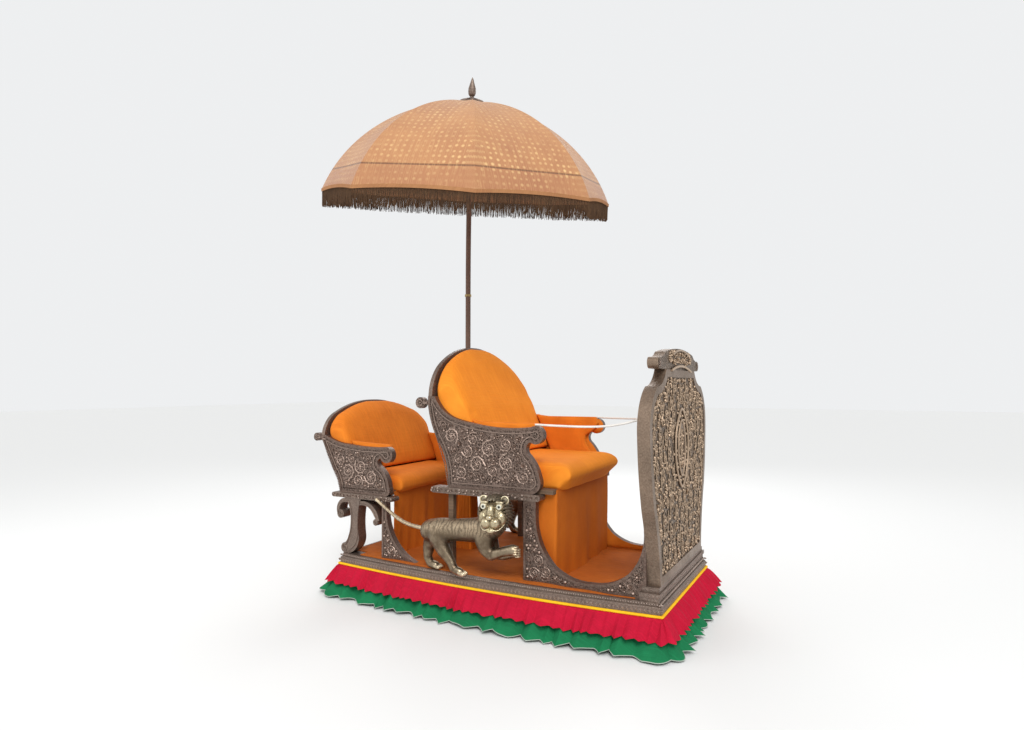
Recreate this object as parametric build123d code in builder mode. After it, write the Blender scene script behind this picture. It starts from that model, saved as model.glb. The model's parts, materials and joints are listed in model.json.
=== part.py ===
"""Two-seat howdah of silver-clad timber with a parasol, for an elephant's back.

Millimetres.  +X runs forward to the tall front board, +Y to the rider's left and +Z up.
The origin lies on the floor under the middle of the base.  Outlines that stand upright are
drawn on planes whose second coordinate is the height above the underside of the base.
"""
import os
from math import cos, degrees, pi, radians, sin, sqrt, tan

from build123d import *

os.makedirs("parts", exist_ok=True)

# ---------------------------------------------------------------- driving dimensions
# underframe
BEARER_W = 60
BEARER_H = 110
BEARER_LENGTH = 1500
BEARER_SPREAD = 280          # from the centre plane to a bearer's middle
LASHING_R = 16
LASHING_REACH = 600          # from the middle to a lashing hole
CROSS_W = 60
CROSS_H = 50
CROSS_SPAN = 800
CROSS_AT = (-720, -240, 240, 720)

# base
BASE_LENGTH = 1730
BASE_WIDTH = 850             # at the corners
BASE_BOW = 45                # how far each long side swells past the corners
BASE_CORNER_R = 14
PLINTH_H = 45
PLINTH_STEP = 15             # height of the upper, narrower moulding
PLINTH_INSET = 10
CLOTH_T = 3
CLOTH_INSET = 30

# boards and beams at the sides
SIDE_OUTER = 400             # from the centre plane to the outer face of the side boards
SIDE_T = 30
BORDER_W = 12                # raised border round the outer face of each side board
BORDER_H = 3
BEAM_INNER = 350
BEAM_OUTER = 410

# front board
PANEL_FRONT = 843
PANEL_T = 48
PANEL_FOOT = 101             # height of its foot above the base's underside
PANEL_BORDER = 34
PANEL_BORDER_H = 6
KNOB_R = 25

# seats
SEAT_BOARD_T = 20
FRONT_BEAM_Z = 409
FRONT_BEAM_T = 30
REAR_BEAM_Z = 337
REAR_BEAM_T = 25
BACK_T = 22
PAD_GAP = 1
ARM_PAD_T = 38

# skirts round the base
PIPING_H = 12
RUFFLE_T = 6
RED_DROP = 82
RED_FLARE = 78
GREEN_DROP = 150
GREEN_FLARE = 112

# parasol
POLE_X = -331
POLE_R = 14
POLE_CLEARANCE = 1
SOCKET_DEPTH = 150
POST_TOP = 440
RING_Z = 1030
RING_H = 20
RING_WALL = 7
FERRULE_Z = 1440
HUB_Z = 2468
LEAN = 14                    # how far the bowed pole has leant over at the hub, in degrees
LEAN_TOWARDS = -50           # heading of that lean, in degrees from +X
VERTEX_HEADING = -55.5       # heading of one corner of the canopy
CANOPY_R = 800
CANOPY_RISE = 500
CANOPY_T = 4
CANOPY_SIDES = 8
FRINGE_DROP = 103
FRINGE_T = 5
RIB_W = 7
RIB_T = 9
HUB_R = 30
HUB_H = 32
RUNNER_DROP = 260
RUNNER_R = 25
RUNNER_H = 34
STRETCHER_R = 4
STRETCHER_REACH = 400
FIT = 0.3

# ---------------------------------------------------------------- worked-out levels
BASE_Z = BEARER_H + CROSS_H
DECK = PLINTH_H
HALF_L = BASE_LENGTH / 2
HALF_W = BASE_WIDTH / 2
SIDE_INNER = SIDE_OUTER - SIDE_T
PANEL_REAR = PANEL_FRONT - PANEL_T
FRONT_BOARD_Z = FRONT_BEAM_Z + FRONT_BEAM_T
FRONT_SEAT_Z = FRONT_BOARD_Z + SEAT_BOARD_T
REAR_BOARD_Z = REAR_BEAM_Z + REAR_BEAM_T
REAR_SEAT_Z = REAR_BOARD_Z + SEAT_BOARD_T
SIDE = Plane(origin=(0, 0, BASE_Z), x_dir=(1, 0, 0), z_dir=(0, -1, 0))
FACE = Plane(origin=(0, 0, BASE_Z), x_dir=(0, 1, 0), z_dir=(1, 0, 0))
DOWN = Plane(origin=(0, 0, BASE_Z))
HANDS = ((1, "right"), (-1, "left"))


def save(piece, name):
    """Label a finished sub-part and write it."""
    piece.part.label = name
    export_step(piece.part, f"parts/{name}.step")


# ---------------------------------------------------------------- underframe
with BuildPart() as bearers:
    with BuildSketch(Plane.XZ.offset(-BEARER_SPREAD)):
        with Locations((0, BEARER_H / 2)):
            Rectangle(BEARER_LENGTH, BEARER_H)
    extrude(amount=BEARER_W / 2, both=True)
    chamfer(bearers.edges().filter_by(Axis.Y).group_by(Axis.Z)[0], length=BEARER_H / 3)
    with Locations([(x, BEARER_SPREAD, BEARER_H / 2) for x in (-LASHING_REACH, LASHING_REACH)]):
        Cylinder(LASHING_R, BEARER_H, mode=Mode.SUBTRACT)
    mirror(about=Plane.XZ)
save(bearers, "bearers")

with BuildPart() as cross_bearers:
    with Locations([(x, 0, BEARER_H + CROSS_H / 2) for x in CROSS_AT]):
        Box(CROSS_W, CROSS_SPAN, CROSS_H)
save(cross_bearers, "cross_bearers")


# ---------------------------------------------------------------- base
def draw_base_outline(grow):
    """Plan of the base: straight ends and bowed long sides, grown outwards by a distance."""
    x = HALF_L + grow
    y = HALF_W + grow
    ThreePointArc((-x, -y), (0, -y - BASE_BOW), (x, -y))
    Line((x, -y), (x, y))
    ThreePointArc((x, y), (0, y + BASE_BOW), (-x, y))
    Line((-x, y), (-x, -y))


with BuildPart() as base_plinth:
    with BuildSketch(DOWN) as base_plan:
        with BuildLine():
            draw_base_outline(0)
        make_face()
        fillet(base_plan.vertices(), BASE_CORNER_R)
    extrude(amount=PLINTH_H - PLINTH_STEP)
    chamfer(base_plinth.faces().sort_by(Axis.Z)[-1].edges(), length=PLINTH_INSET / 2)
    with BuildSketch(DOWN.offset(PLINTH_H - PLINTH_STEP)) as upper_plan:
        with BuildLine():
            draw_base_outline(-PLINTH_INSET)
        make_face()
        fillet(upper_plan.vertices(), BASE_CORNER_R)
    extrude(amount=PLINTH_STEP)
save(base_plinth, "base_plinth")

# steps under the front board: rear, front, half width, low, high
FOOT_REAR = 768
FOOT_STEPS = (
    (FOOT_REAR, 851, 413, DECK, 63),
    (FOOT_REAR, 856, 418, 63, 80),
    (FOOT_REAR + 10, 849, 402, 80, PANEL_FOOT),
)
with BuildPart() as front_plinth:
    for rear, front, half, low, high in FOOT_STEPS:
        with BuildSketch(DOWN.offset(low)):
            with Locations(((rear + front) / 2, 0)):
                Rectangle(front - rear, 2 * half)
        extrude(amount=high - low)
save(front_plinth, "front_plinth")


# ---------------------------------------------------------------- front board
def draw_shield(top_y=262, top_z=1005):
    """Both flanks of the hooded front board, from its foot to the neck under the crest."""
    Line((-380, PANEL_FOOT), (380, PANEL_FOOT))
    for s in (1, -1):
        ThreePointArc((s * 380, PANEL_FOOT), (s * 405, 250), (s * 463, 420))
        ThreePointArc((s * 463, 420), (s * 503, 590), (s * 517, 730))
        ThreePointArc((s * 517, 730), (s * 492, 846), (s * 400, 931))
        ThreePointArc((s * 400, 931), (s * 310, 957), (s * top_y, top_z))


def draw_crest():
    """The crest with its rolled ends, from the neck up."""
    for s in (1, -1):
        Line((s * 262, 1005), (s * 349, 1032 - KNOB_R))
        Line((s * 349, 1032 - KNOB_R), (s * 349, 1032 + KNOB_R))
        ThreePointArc((s * 349, 1032 + KNOB_R), (s * 290, 1063), (s * 252, 1083))
    ThreePointArc((252, 1083), (0, 1105), (-252, 1083))


with BuildPart() as front_panel:
    with BuildSketch(FACE.offset(PANEL_REAR)):
        with BuildLine():
            draw_shield()
            draw_crest()
        make_face()
        with Locations((349, 1032), (-349, 1032)):
            Circle(KNOB_R)
    extrude(amount=PANEL_T)
    with BuildSketch(FACE.offset(PANEL_FRONT)):
        with BuildLine():
            draw_shield()
            Line((262, 1005), (-262, 1005))
        make_face()
        offset(amount=-PANEL_BORDER, mode=Mode.SUBTRACT)
    extrude(amount=PANEL_BORDER_H)
    with BuildSketch(FACE.offset(PANEL_FRONT)):
        with Locations((0, 640)):
            Ellipse(70, 118)
            Ellipse(50, 96, mode=Mode.SUBTRACT)
    extrude(amount=PANEL_BORDER_H)
save(front_panel, "front_panel")


# ---------------------------------------------------------------- side boards
def draw_side_frame():
    """U-shaped opening beside the footwell: upright, swept bottom and front arm."""
    Line((222, DECK), (222, FRONT_BEAM_Z))
    Line((222, FRONT_BEAM_Z), (285, FRONT_BEAM_Z))
    Line((285, FRONT_BEAM_Z), (285, 335))
    ThreePointArc((285, 335), (308, 222), (375, 124))
    ThreePointArc((375, 124), (455, 85), (550, 77))
    ThreePointArc((550, 77), (650, 97), (718, 142))
    ThreePointArc((718, 142), (770, 222), (786, 330))
    Line((786, 330), (786, 470))
    Line((786, 470), (PANEL_REAR, 500))
    Line((PANEL_REAR, 500), (PANEL_REAR, PANEL_FOOT))
    Line((PANEL_REAR, PANEL_FOOT), (FOOT_REAR + 10, PANEL_FOOT))
    Line((FOOT_REAR + 10, PANEL_FOOT), (FOOT_REAR + 10, 80))
    Line((FOOT_REAR + 10, 80), (FOOT_REAR, 80))
    Line((FOOT_REAR, 80), (FOOT_REAR, DECK))
    Line((FOOT_REAR, DECK), (222, DECK))


def draw_rear_spandrel():
    """Curved bracket in front of the rear seat."""
    Line((-600, DECK), (-600, REAR_BEAM_Z))
    Line((-600, REAR_BEAM_Z), (-572, REAR_BEAM_Z))
    Line((-572, REAR_BEAM_Z), (-568, 257))
    ThreePointArc((-568, 257), (-505, 122), (-383, DECK))
    Line((-383, DECK), (-600, DECK))


def draw_front_side():
    """Side board of the front seat, its arm ending in a scroll."""
    Line((-192, FRONT_BOARD_Z), (262, FRONT_BOARD_Z))
    ThreePointArc((262, FRONT_BOARD_Z), (300, 462), (305, 515))
    ThreePointArc((305, 515), (285, 568), (250, 615))
    ThreePointArc((250, 615), (236, 645), (258, 675))
    ThreePointArc((258, 675), (322, 694), (262, 744))
    ThreePointArc((262, 744), (60, 738), (-143, 773))
    ThreePointArc((-143, 773), (-216, 810), (-272, 881))
    Line((-272, 881), (-312, 881))
    Line((-312, 881), (-312, 840))
    ThreePointArc((-312, 840), (-290, 745), (-250, 660))
    ThreePointArc((-250, 660), (-204, 560), (-192, FRONT_BOARD_Z))


def draw_rear_side():
    """Side board of the rear seat, like the front one but lower."""
    Line((-888, REAR_BOARD_Z), (-575, REAR_BOARD_Z))
    ThreePointArc((-575, REAR_BOARD_Z), (-556, 375), (-556, 410))
    ThreePointArc((-556, 410), (-572, 462), (-615, 510))
    ThreePointArc((-615, 510), (-632, 532), (-612, 556))
    ThreePointArc((-612, 556), (-536, 566), (-587, 614))
    ThreePointArc((-587, 614), (-740, 612), (-870, 625))
    ThreePointArc((-870, 625), (-940, 642), (-995, 664))
    Line((-995, 664), (-1027, 664))
    Line((-1027, 664), (-1027, 650))
    ThreePointArc((-1027, 650), (-972, 552), (-934, 479))
    ThreePointArc((-934, 479), (-900, 425), (-888, REAR_BOARD_Z))


# name, outline, centre and radius of the rolled knob behind the back or None
SIDE_BOARDS = (
    ("side_frame", draw_side_frame, None),
    ("rear_spandrel", draw_rear_spandrel, None),
    ("front_side_panel", draw_front_side, ((-362, 848), 28, -312)),
    ("rear_side_panel", draw_rear_side, ((-1062, 652), 22, -1027)),
)
for board_name, draw_outline, knob in SIDE_BOARDS:
    for hand, hand_name in HANDS:
        with BuildPart() as side_board:
            with BuildSketch(SIDE.offset(hand * SIDE_INNER)):
                with BuildLine():
                    draw_outline()
                make_face()
                if knob:
                    (knob_x, knob_z), knob_r, edge_x = knob
                    with Locations((knob_x, knob_z)):
                        Circle(knob_r)
                    with Locations(((knob_x + edge_x) / 2, knob_z)):
                        Rectangle(edge_x - knob_x, knob_r * 0.7)
            extrude(amount=hand * SIDE_T)
            with BuildSketch(SIDE.offset(hand * SIDE_OUTER)):
                with BuildLine():
                    draw_outline()
                make_face()
                offset(amount=-BORDER_W, mode=Mode.SUBTRACT)
            extrude(amount=hand * BORDER_H)
        save(side_board, f"{board_name}_{hand_name}")

# beams under the side boards: name, rear end, front end, low, height
BEAMS = (
    ("front_beam", -273, 294, FRONT_BEAM_Z, FRONT_BEAM_T),
    ("rear_beam", -926, -541, REAR_BEAM_Z, REAR_BEAM_T),
)
for beam_name, rear, front, low, height in BEAMS:
    for hand, hand_name in HANDS:
        with BuildPart() as beam:
            with BuildSketch(SIDE.offset(hand * BEAM_INNER)):
                with Locations(((rear + front) / 2, low + height / 2)):
                    Rectangle(front - rear, height)
                with Locations((rear, low + height / 2), (front, low + height / 2)):
                    Circle(height / 2)
            extrude(amount=hand * (BEAM_OUTER - BEAM_INNER))
        save(beam, f"{beam_name}_{hand_name}")

# ---------------------------------------------------------------- scroll legs under the rear seat
LEG_INNER = 345
LEG_OUTER = 405
for hand, hand_name in HANDS:
    with BuildPart() as rear_leg:
        with BuildSketch(SIDE.offset(hand * LEG_INNER)):
            with BuildLine():
                Line((-835, REAR_BEAM_Z), (-740, REAR_BEAM_Z))
                ThreePointArc((-740, REAR_BEAM_Z), (-758, 230), (-752, 140))
                ThreePointArc((-752, 140), (-772, 75), (-820, DECK))
                Line((-820, DECK), (-846, DECK))
                Line((-846, DECK), (-846, 99))
                ThreePointArc((-846, 99), (-815, 150), (-808, 190))
                ThreePointArc((-808, 190), (-806, 280), (-835, REAR_BEAM_Z))
            make_face()
            with Locations((-846, DECK + 27)):
                Circle(27)
            with BuildLine():
                hook = ThreePointArc((-830, REAR_BEAM_Z - 14), (-884, 305), (-893, 255))
            trace(hook, line_width=22)
            with Locations((-880, 248)):
                Circle(23)
            with BuildLine():
                brace = ThreePointArc((-752, REAR_BEAM_Z - 24), (-670, 300), (-627, 232))
            trace(brace, line_width=20)
            with Locations((-640, 224)):
                Circle(17)
        extrude(amount=hand * (LEG_OUTER - LEG_INNER))
    save(rear_leg, f"rear_leg_{hand_name}")


# ---------------------------------------------------------------- seat backs
def draw_back_arch(foot_z, rise, half):
    """Rounded top of a seat back: four arcs close to half an ellipse."""
    for s in (1, -1):
        ThreePointArc((s * half, foot_z), (s * half * 0.93, foot_z + rise * 0.3676), (s * half * 0.75, foot_z + rise * 0.6614))
        ThreePointArc((s * half * 0.75, foot_z + rise * 0.6614), (s * half * 0.4, foot_z + rise * 0.9165), (0, foot_z + rise))
    Line((-half, foot_z), (half, foot_z))


# name, arch foot, arch rise, profile rear line (foot, arc middle, arc end / arc middle, arc end)
BACKS = (
    ("front_seat_back", 881, 259, FRONT_BOARD_Z, ((-192, None), (-204, 560), (-250, 660), (-290, 745), (-312, 840))),
    ("rear_seat_back", 664, 186, REAR_BOARD_Z, ((-888, None), (-900, 425), (-934, 479), (-972, 552), (-1027, 650))),
)
for back_name, arch_z, arch_rise, low, rear_line in BACKS:
    foot_x = rear_line[0][0]
    top_x = rear_line[-1][0]
    with BuildPart() as seat_back:
        with BuildSketch(SIDE):
            with BuildLine():
                Line((foot_x, low), (foot_x + BACK_T, low))
                for shift in (0, BACK_T):
                    start = (foot_x + shift, low)
                    mid, end = [(x + shift, z) for x, z in rear_line[1:3]]
                    ThreePointArc(start, mid, end)
                    mid_2, end_2 = [(x + shift, z) for x, z in rear_line[3:5]]
                    ThreePointArc(end, mid_2, end_2)
                    Line(end_2, (top_x + shift, arch_z + arch_rise))
                Line((top_x, arch_z + arch_rise), (top_x + BACK_T, arch_z + arch_rise))
            make_face()
        extrude(amount=SIDE_OUTER, both=True)
        with BuildSketch(FACE.offset(-BASE_LENGTH)):
            with BuildLine():
                draw_back_arch(arch_z, arch_rise, SIDE_OUTER)
            make_face()
            with Locations((0, (low + arch_z) / 2)):
                Rectangle(2 * SIDE_INNER, arch_z - low)
        extrude(amount=2 * BASE_LENGTH, mode=Mode.INTERSECT)
    save(seat_back, back_name)

# ---------------------------------------------------------------- seat boards and posts
FRONT_BOARD_REAR = -168
FRONT_BOARD_FRONT = 357
REAR_BOARD_REAR = -864
REAR_BOARD_FRONT = -574
SEAT_BOARDS = (
    ("front_seat_board", FRONT_BOARD_REAR, FRONT_BOARD_FRONT, FRONT_BOARD_Z),
    ("rear_seat_board", REAR_BOARD_REAR, REAR_BOARD_FRONT, REAR_BOARD_Z),
)
for board_name, rear, front, low in SEAT_BOARDS:
    with BuildPart() as seat_board:
        with BuildSketch(DOWN.offset(low)):
            with Locations(((rear + front) / 2, 0)):
                Rectangle(front - rear, 2 * SIDE_INNER)
        extrude(amount=SEAT_BOARD_T)
    save(seat_board, board_name)

POST_W = 28
POST_X = -190
with BuildPart() as front_seat_posts:
    with BuildSketch(DOWN.offset(DECK)):
        with Locations((POST_X, BEAM_INNER + POST_W / 2), (POST_X, -BEAM_INNER - POST_W / 2)):
            Rectangle(POST_W, POST_W)
    extrude(amount=FRONT_BEAM_Z - DECK)
save(front_seat_posts, "front_seat_posts")

# ---------------------------------------------------------------- cloth and pads
FOOTPRINTS = (
    # x low, x high, y low, y high of what stands on the base
    (222, FOOT_REAR, SIDE_INNER, SIDE_OUTER + BORDER_H),
    (-600, -383, SIDE_INNER, SIDE_OUTER + BORDER_H),
    (-875, -740, LEG_INNER, LEG_OUTER),
    (POST_X - POST_W / 2, POST_X + POST_W / 2, BEAM_INNER, BEAM_INNER + POST_W),
)
with BuildPart() as floor_cloth:
    with BuildSketch(DOWN.offset(DECK)):
        with BuildLine():
            draw_base_outline(-CLOTH_INSET)
        make_face()
        with Locations((FOOT_REAR + 100, 0)):
            Rectangle(200 + 2 * PAD_GAP, 2 * BASE_WIDTH, mode=Mode.SUBTRACT)
        for x_low, x_high, y_low, y_high in FOOTPRINTS:
            for s in (1, -1):
                with Locations(((x_low + x_high) / 2, s * (y_low + y_high) / 2)):
                    Rectangle(x_high - x_low + 2 * PAD_GAP, y_high - y_low + 2 * PAD_GAP, mode=Mode.SUBTRACT)
        with Locations((POLE_X, 0)):
            Rectangle(110 + 2 * PAD_GAP, 100 + 2 * PAD_GAP, mode=Mode.SUBTRACT)
    extrude(amount=CLOTH_T)
save(floor_cloth, "floor_cloth")

VALANCE_T = 6
VALANCE_HALF = 340
# name, front edge of the seat board, length of the side returns, top
VALANCES = (
    ("front_valance", FRONT_BOARD_FRONT, 62, FRONT_BOARD_Z + SEAT_BOARD_T),
    ("rear_valance", REAR_BOARD_FRONT, 0, REAR_BOARD_Z + SEAT_BOARD_T),
)
for valance_name, edge, back_length, top in VALANCES:
    with BuildPart() as valance:
        with BuildSketch(DOWN.offset(DECK + CLOTH_T)):
            with Locations((edge + VALANCE_T / 2, 0)):
                Rectangle(VALANCE_T, 2 * VALANCE_HALF)
        extrude(amount=top - DECK - CLOTH_T)
        if back_length:
            with BuildSketch(DOWN.offset(DECK + CLOTH_T)):
                for s in (1, -1):
                    with Locations((edge - back_length / 2, s * (VALANCE_HALF - VALANCE_T / 2))):
                        Rectangle(back_length, VALANCE_T)
            extrude(amount=FRONT_BOARD_Z - DECK - CLOTH_T)
    save(valance, valance_name)

CUSHION_HALF = SIDE_INNER - ARM_PAD_T - 3 * PAD_GAP
with BuildPart() as front_cushion:
    with BuildSketch(SIDE):
        with BuildLine():
            Polyline((-145, FRONT_SEAT_Z + FIT), (365, FRONT_SEAT_Z + FIT), (372, 492), (408, 498))
            ThreePointArc((408, 498), (420, 535), (392, 566))
            Line((392, 566), (330, 573))
            Line((330, 573), (-145, 573))
            Line((-145, 573), (-145, FRONT_SEAT_Z + FIT))
        make_face()
    extrude(amount=CUSHION_HALF, both=True)
save(front_cushion, "front_cushion")

with BuildPart() as rear_cushion:
    with BuildSketch(SIDE):
        with BuildLine():
            Polyline((-845, REAR_SEAT_Z + FIT), (-566, REAR_SEAT_Z + FIT), (-546, 388))
            ThreePointArc((-546, 388), (-534, 425), (-560, 456))
            Line((-560, 456), (-620, 464))
            Line((-620, 464), (-845, 464))
            Line((-845, 464), (-845, REAR_SEAT_Z + FIT))
        make_face()
    extrude(amount=CUSHION_HALF, both=True)
save(rear_cushion, "rear_cushion")

with BuildPart() as front_back_pad:
    with BuildSketch(SIDE):
        with BuildLine():
            Polyline((-143, 574), (-12, 574), (-116, 814), (-195, 960), (-240, 1060), (-262, 1118), (-289, 1122),
                     (-289, 840))
            ThreePointArc((-289, 840), (-267, 745), (-227, 660))
            ThreePointArc((-227, 660), (-192, 600), (-181, 574))
            Line((-181, 574), (-143, 574))
        make_face()
    extrude(amount=SIDE_OUTER, both=True)
    with BuildSketch(FACE.offset(-BASE_LENGTH)):
        with BuildLine():
            draw_back_arch(881, 243, SIDE_INNER + 8)
        make_face()
        with Locations((0, (574 + 881) / 2)):
            Rectangle(2 * (SIDE_INNER - PAD_GAP), 881 - 574)
    extrude(amount=2 * BASE_LENGTH, mode=Mode.INTERSECT)
save(front_back_pad, "front_back_pad")

with BuildPart() as rear_back_pad:
    with BuildSketch(SIDE):
        with BuildLine():
            Polyline((-843, 465), (-790, 465), (-862, 640), (-925, 760), (-972, 830), (-1004, 834), (-1004, 650))
            ThreePointArc((-1004, 650), (-948, 552), (-910, 479))
            Line((-910, 479), (-896, 465))
            Line((-896, 465), (-843, 465))
        make_face()
    extrude(amount=SIDE_OUTER, both=True)
    with BuildSketch(FACE.offset(-BASE_LENGTH)):
        with BuildLine():
            draw_back_arch(664, 172, SIDE_INNER + 8)
        make_face()
        with Locations((0, (465 + 664) / 2)):
            Rectangle(2 * (SIDE_INNER - PAD_GAP), 664 - 465)
    extrude(amount=2 * BASE_LENGTH, mode=Mode.INTERSECT)
save(rear_back_pad, "rear_back_pad")

# arm pads: name, corners of the outline from the lower back round to the top back
ARM_PADS = (
    ("front_arm_pad", ((-2, 575), (-2, 461), (290, 461), (300, 520), (238, 620), (236, 655), (285, 690), (312, 735),
                       (290, 772), (0, 770), (-88, 778))),
    ("rear_arm_pad", ((-788, 466), (-788, 384), (-580, 384), (-572, 430), (-634, 520), (-630, 550), (-560, 580),
                      (-575, 636), (-700, 640), (-856, 648))),
)
for pad_name, corners in ARM_PADS:
    for hand, hand_name in HANDS:
        with BuildPart() as arm_pad:
            with BuildSketch(SIDE.offset(hand * (SIDE_INNER - ARM_PAD_T - FIT))):
                with BuildLine():
                    Polyline(*corners, close=True)
                make_face()
            extrude(amount=hand * ARM_PAD_T)
        save(arm_pad, f"{pad_name}_{hand_name}")

# ---------------------------------------------------------------- carved cats on the base
# the trunk is turned about a line from the rump to the chest: station along it, radius
CAT_Y = -445
CAT_RUMP = (-292, 236)
CAT_CHEST = (84, 268)
TRUNK = ((0, 0), (58, 58), (130, 56), (205, 49), (300, 54), (378, 0))
# legs in side view: distance out from the trunk's plane, half thickness, outline
CAT_LEGS = (
    (26, 18, ((-262, 222), (-178, 236), (-130, 152), (-100, 100), (-96, 82), (-70, 76), (-64, 48), (-138, 48),
              (-148, 96), (-196, 156))),
    (-22, 17, ((-290, 232), (-212, 232), (-252, 146), (-256, 92), (-228, 76), (-222, 48), (-292, 48), (-302, 92),
               (-322, 152))),
    (26, 17, ((14, 262), (84, 262), (110, 190), (196, 214), (222, 210), (222, 180), (200, 174), (98, 138), (68, 148),
              (36, 204))),
    (-22, 16, ((14, 252), (84, 252), (112, 172), (196, 192), (218, 188), (218, 160), (198, 156), (98, 124), (70, 134),
               (36, 190))),
)
HEAD_AT = (140, 52, 348)
HEAD_R = 80
EARS = ((82, 50, 408), (198, 50, 408))
EAR_R = 25
CAT_NECK = (88, 22, 300)
NECK_R = 54
TAIL_R = 10
for hand, hand_name in HANDS:
    side_plane = SIDE.offset(-hand * CAT_Y)
    rump = side_plane.from_local_coords((*CAT_RUMP, 0))
    chest = side_plane.from_local_coords((*CAT_CHEST, 0))
    with BuildPart() as trunk:
        with BuildSketch(Plane(origin=rump, x_dir=chest - rump, z_dir=(0, -1, 0))):
            with BuildLine():
                for first, middle, last in (TRUNK[0:3], TRUNK[2:5]):
                    ThreePointArc(first, middle, last)
                Line(TRUNK[4], (TRUNK[4][0] + 46, 38))
                Line((TRUNK[4][0] + 46, 38), (TRUNK[5][0] - 8, 0))
                Line((TRUNK[5][0] - 8, 0), TRUNK[0])
            make_face()
        revolve(axis=Axis(rump, chest - rump))
    with BuildPart() as tail:
        with BuildLine() as tail_path:
            ThreePointArc((-262, hand * CAT_Y, BASE_Z + 232), (-455, hand * (CAT_Y + 10), BASE_Z + 258),
                          (-628, -hand * (BEAM_OUTER + TAIL_R + FIT), BASE_Z + REAR_BEAM_Z + 13))
        with BuildSketch(Plane(origin=tail_path.line @ 0, z_dir=tail_path.line % 0)):
            Circle(TAIL_R)
        sweep()
    with BuildPart() as cat:
        add(trunk.part)
        for out, half_t, outline in CAT_LEGS:
            with BuildSketch(side_plane.offset(hand * (out - half_t))):
                with BuildLine():
                    Polyline(*outline, close=True)
                make_face()
            extrude(amount=hand * 2 * half_t)
        for (x, y, z), radius in ((CAT_NECK, NECK_R), (HEAD_AT, HEAD_R), (EARS[0], EAR_R), (EARS[1], EAR_R)):
            with Locations((x, hand * (CAT_Y - y), BASE_Z + z)):
                Sphere(radius)
        add(tail.part)
    save(cat, f"cat_{hand_name}")

# ---------------------------------------------------------------- skirts
with BuildPart() as yellow_piping:
    with BuildSketch(DOWN.offset(-PIPING_H)) as piping_plan:
        with BuildLine():
            draw_base_outline(8)
        make_face()
        fillet(piping_plan.vertices(), BASE_CORNER_R + 8)
        with BuildLine():
            draw_base_outline(-22)
        make_face(mode=Mode.SUBTRACT)
    extrude(amount=PIPING_H)
save(yellow_piping, "yellow_piping")


def flared_body(top_grow, hem_grow, drop):
    """Solid between the base's plan under the piping and a wider plan at the hem."""
    with BuildPart() as body:
        for grow, depth in ((top_grow, PIPING_H), (hem_grow, drop)):
            with BuildSketch(DOWN.offset(-depth)) as ring_plan:
                with BuildLine():
                    draw_base_outline(grow)
                make_face()
                fillet(ring_plan.vertices(), BASE_CORNER_R + grow + 22)
        loft(ruled=True)
    return body.part


# name, outer edge at the top, flare at the hem, drop
RUFFLES = (
    ("red_ruffle", 6, RED_FLARE, RED_DROP),
    ("green_ruffle", -10, GREEN_FLARE, GREEN_DROP),
)
for ruffle_name, top_grow, hem_grow, drop in RUFFLES:
    outer = flared_body(top_grow, hem_grow, drop)
    inner = flared_body(top_grow - RUFFLE_T, hem_grow - RUFFLE_T, drop)
    with BuildPart() as ruffle:
        add(outer)
        add(inner, mode=Mode.SUBTRACT)
    save(ruffle, ruffle_name)

# ---------------------------------------------------------------- parasol: pole and its carriers
BORE_R = POLE_R + POLE_CLEARANCE
SOCKET_FLOOR = POST_TOP - SOCKET_DEPTH
with BuildPart() as pole_post:
    with BuildSketch(DOWN.offset(DECK)):
        with Locations((POLE_X, 0)):
            Rectangle(110, 100)
    with BuildSketch(DOWN.offset(POST_TOP)):
        with Locations((POLE_X, 0)):
            Rectangle(64, 64)
    loft()
    with Locations((POLE_X, 0, BASE_Z + SOCKET_FLOOR + SOCKET_DEPTH / 2)):
        Cylinder(BORE_R, SOCKET_DEPTH, mode=Mode.SUBTRACT)
save(pole_post, "pole_post")

with BuildPart() as pole_ring:
    with BuildSketch(DOWN.offset(RING_Z)):
        with Locations((POLE_X, 0)):
            Circle(BORE_R + RING_WALL - 3 * FIT)
            Circle(BORE_R, mode=Mode.SUBTRACT)
    extrude(amount=RING_H)
    with BuildSketch(DOWN.offset(RING_Z)):
        with Locations((-312 - 2, 0)):
            Rectangle(4, 90)
        with Locations((POLE_X, 0)):
            Circle(BORE_R, mode=Mode.SUBTRACT)
    extrude(amount=RING_H)
    split(bisect_by=Plane.YZ.offset(-312), keep=Keep.BOTTOM)
save(pole_ring, "pole_ring")

LEAN_RADIUS = (HUB_Z - FERRULE_Z) / sin(radians(LEAN))


def pole_point(lean_so_far):
    """Centre of the bowed pole where it has leant over by an angle in degrees."""
    out = LEAN_RADIUS * (1 - cos(radians(lean_so_far)))
    up = LEAN_RADIUS * sin(radians(lean_so_far))
    heading = radians(LEAN_TOWARDS)
    return Vector(POLE_X + out * cos(heading), out * sin(heading), BASE_Z + FERRULE_Z + up)


def pole_direction(lean_so_far):
    """Direction of the bowed pole there."""
    heading = radians(LEAN_TOWARDS)
    flat = sin(radians(lean_so_far))
    return Vector(flat * cos(heading), flat * sin(heading), cos(radians(lean_so_far)))


HUB_POINT = pole_point(LEAN)
AXIS_DIR = pole_direction(LEAN)
vertex_dir = Vector(cos(radians(VERTEX_HEADING)), sin(radians(VERTEX_HEADING)), 0)
HEAD = Plane(origin=HUB_POINT, x_dir=vertex_dir - AXIS_DIR * vertex_dir.dot(AXIS_DIR), z_dir=AXIS_DIR)

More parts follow.
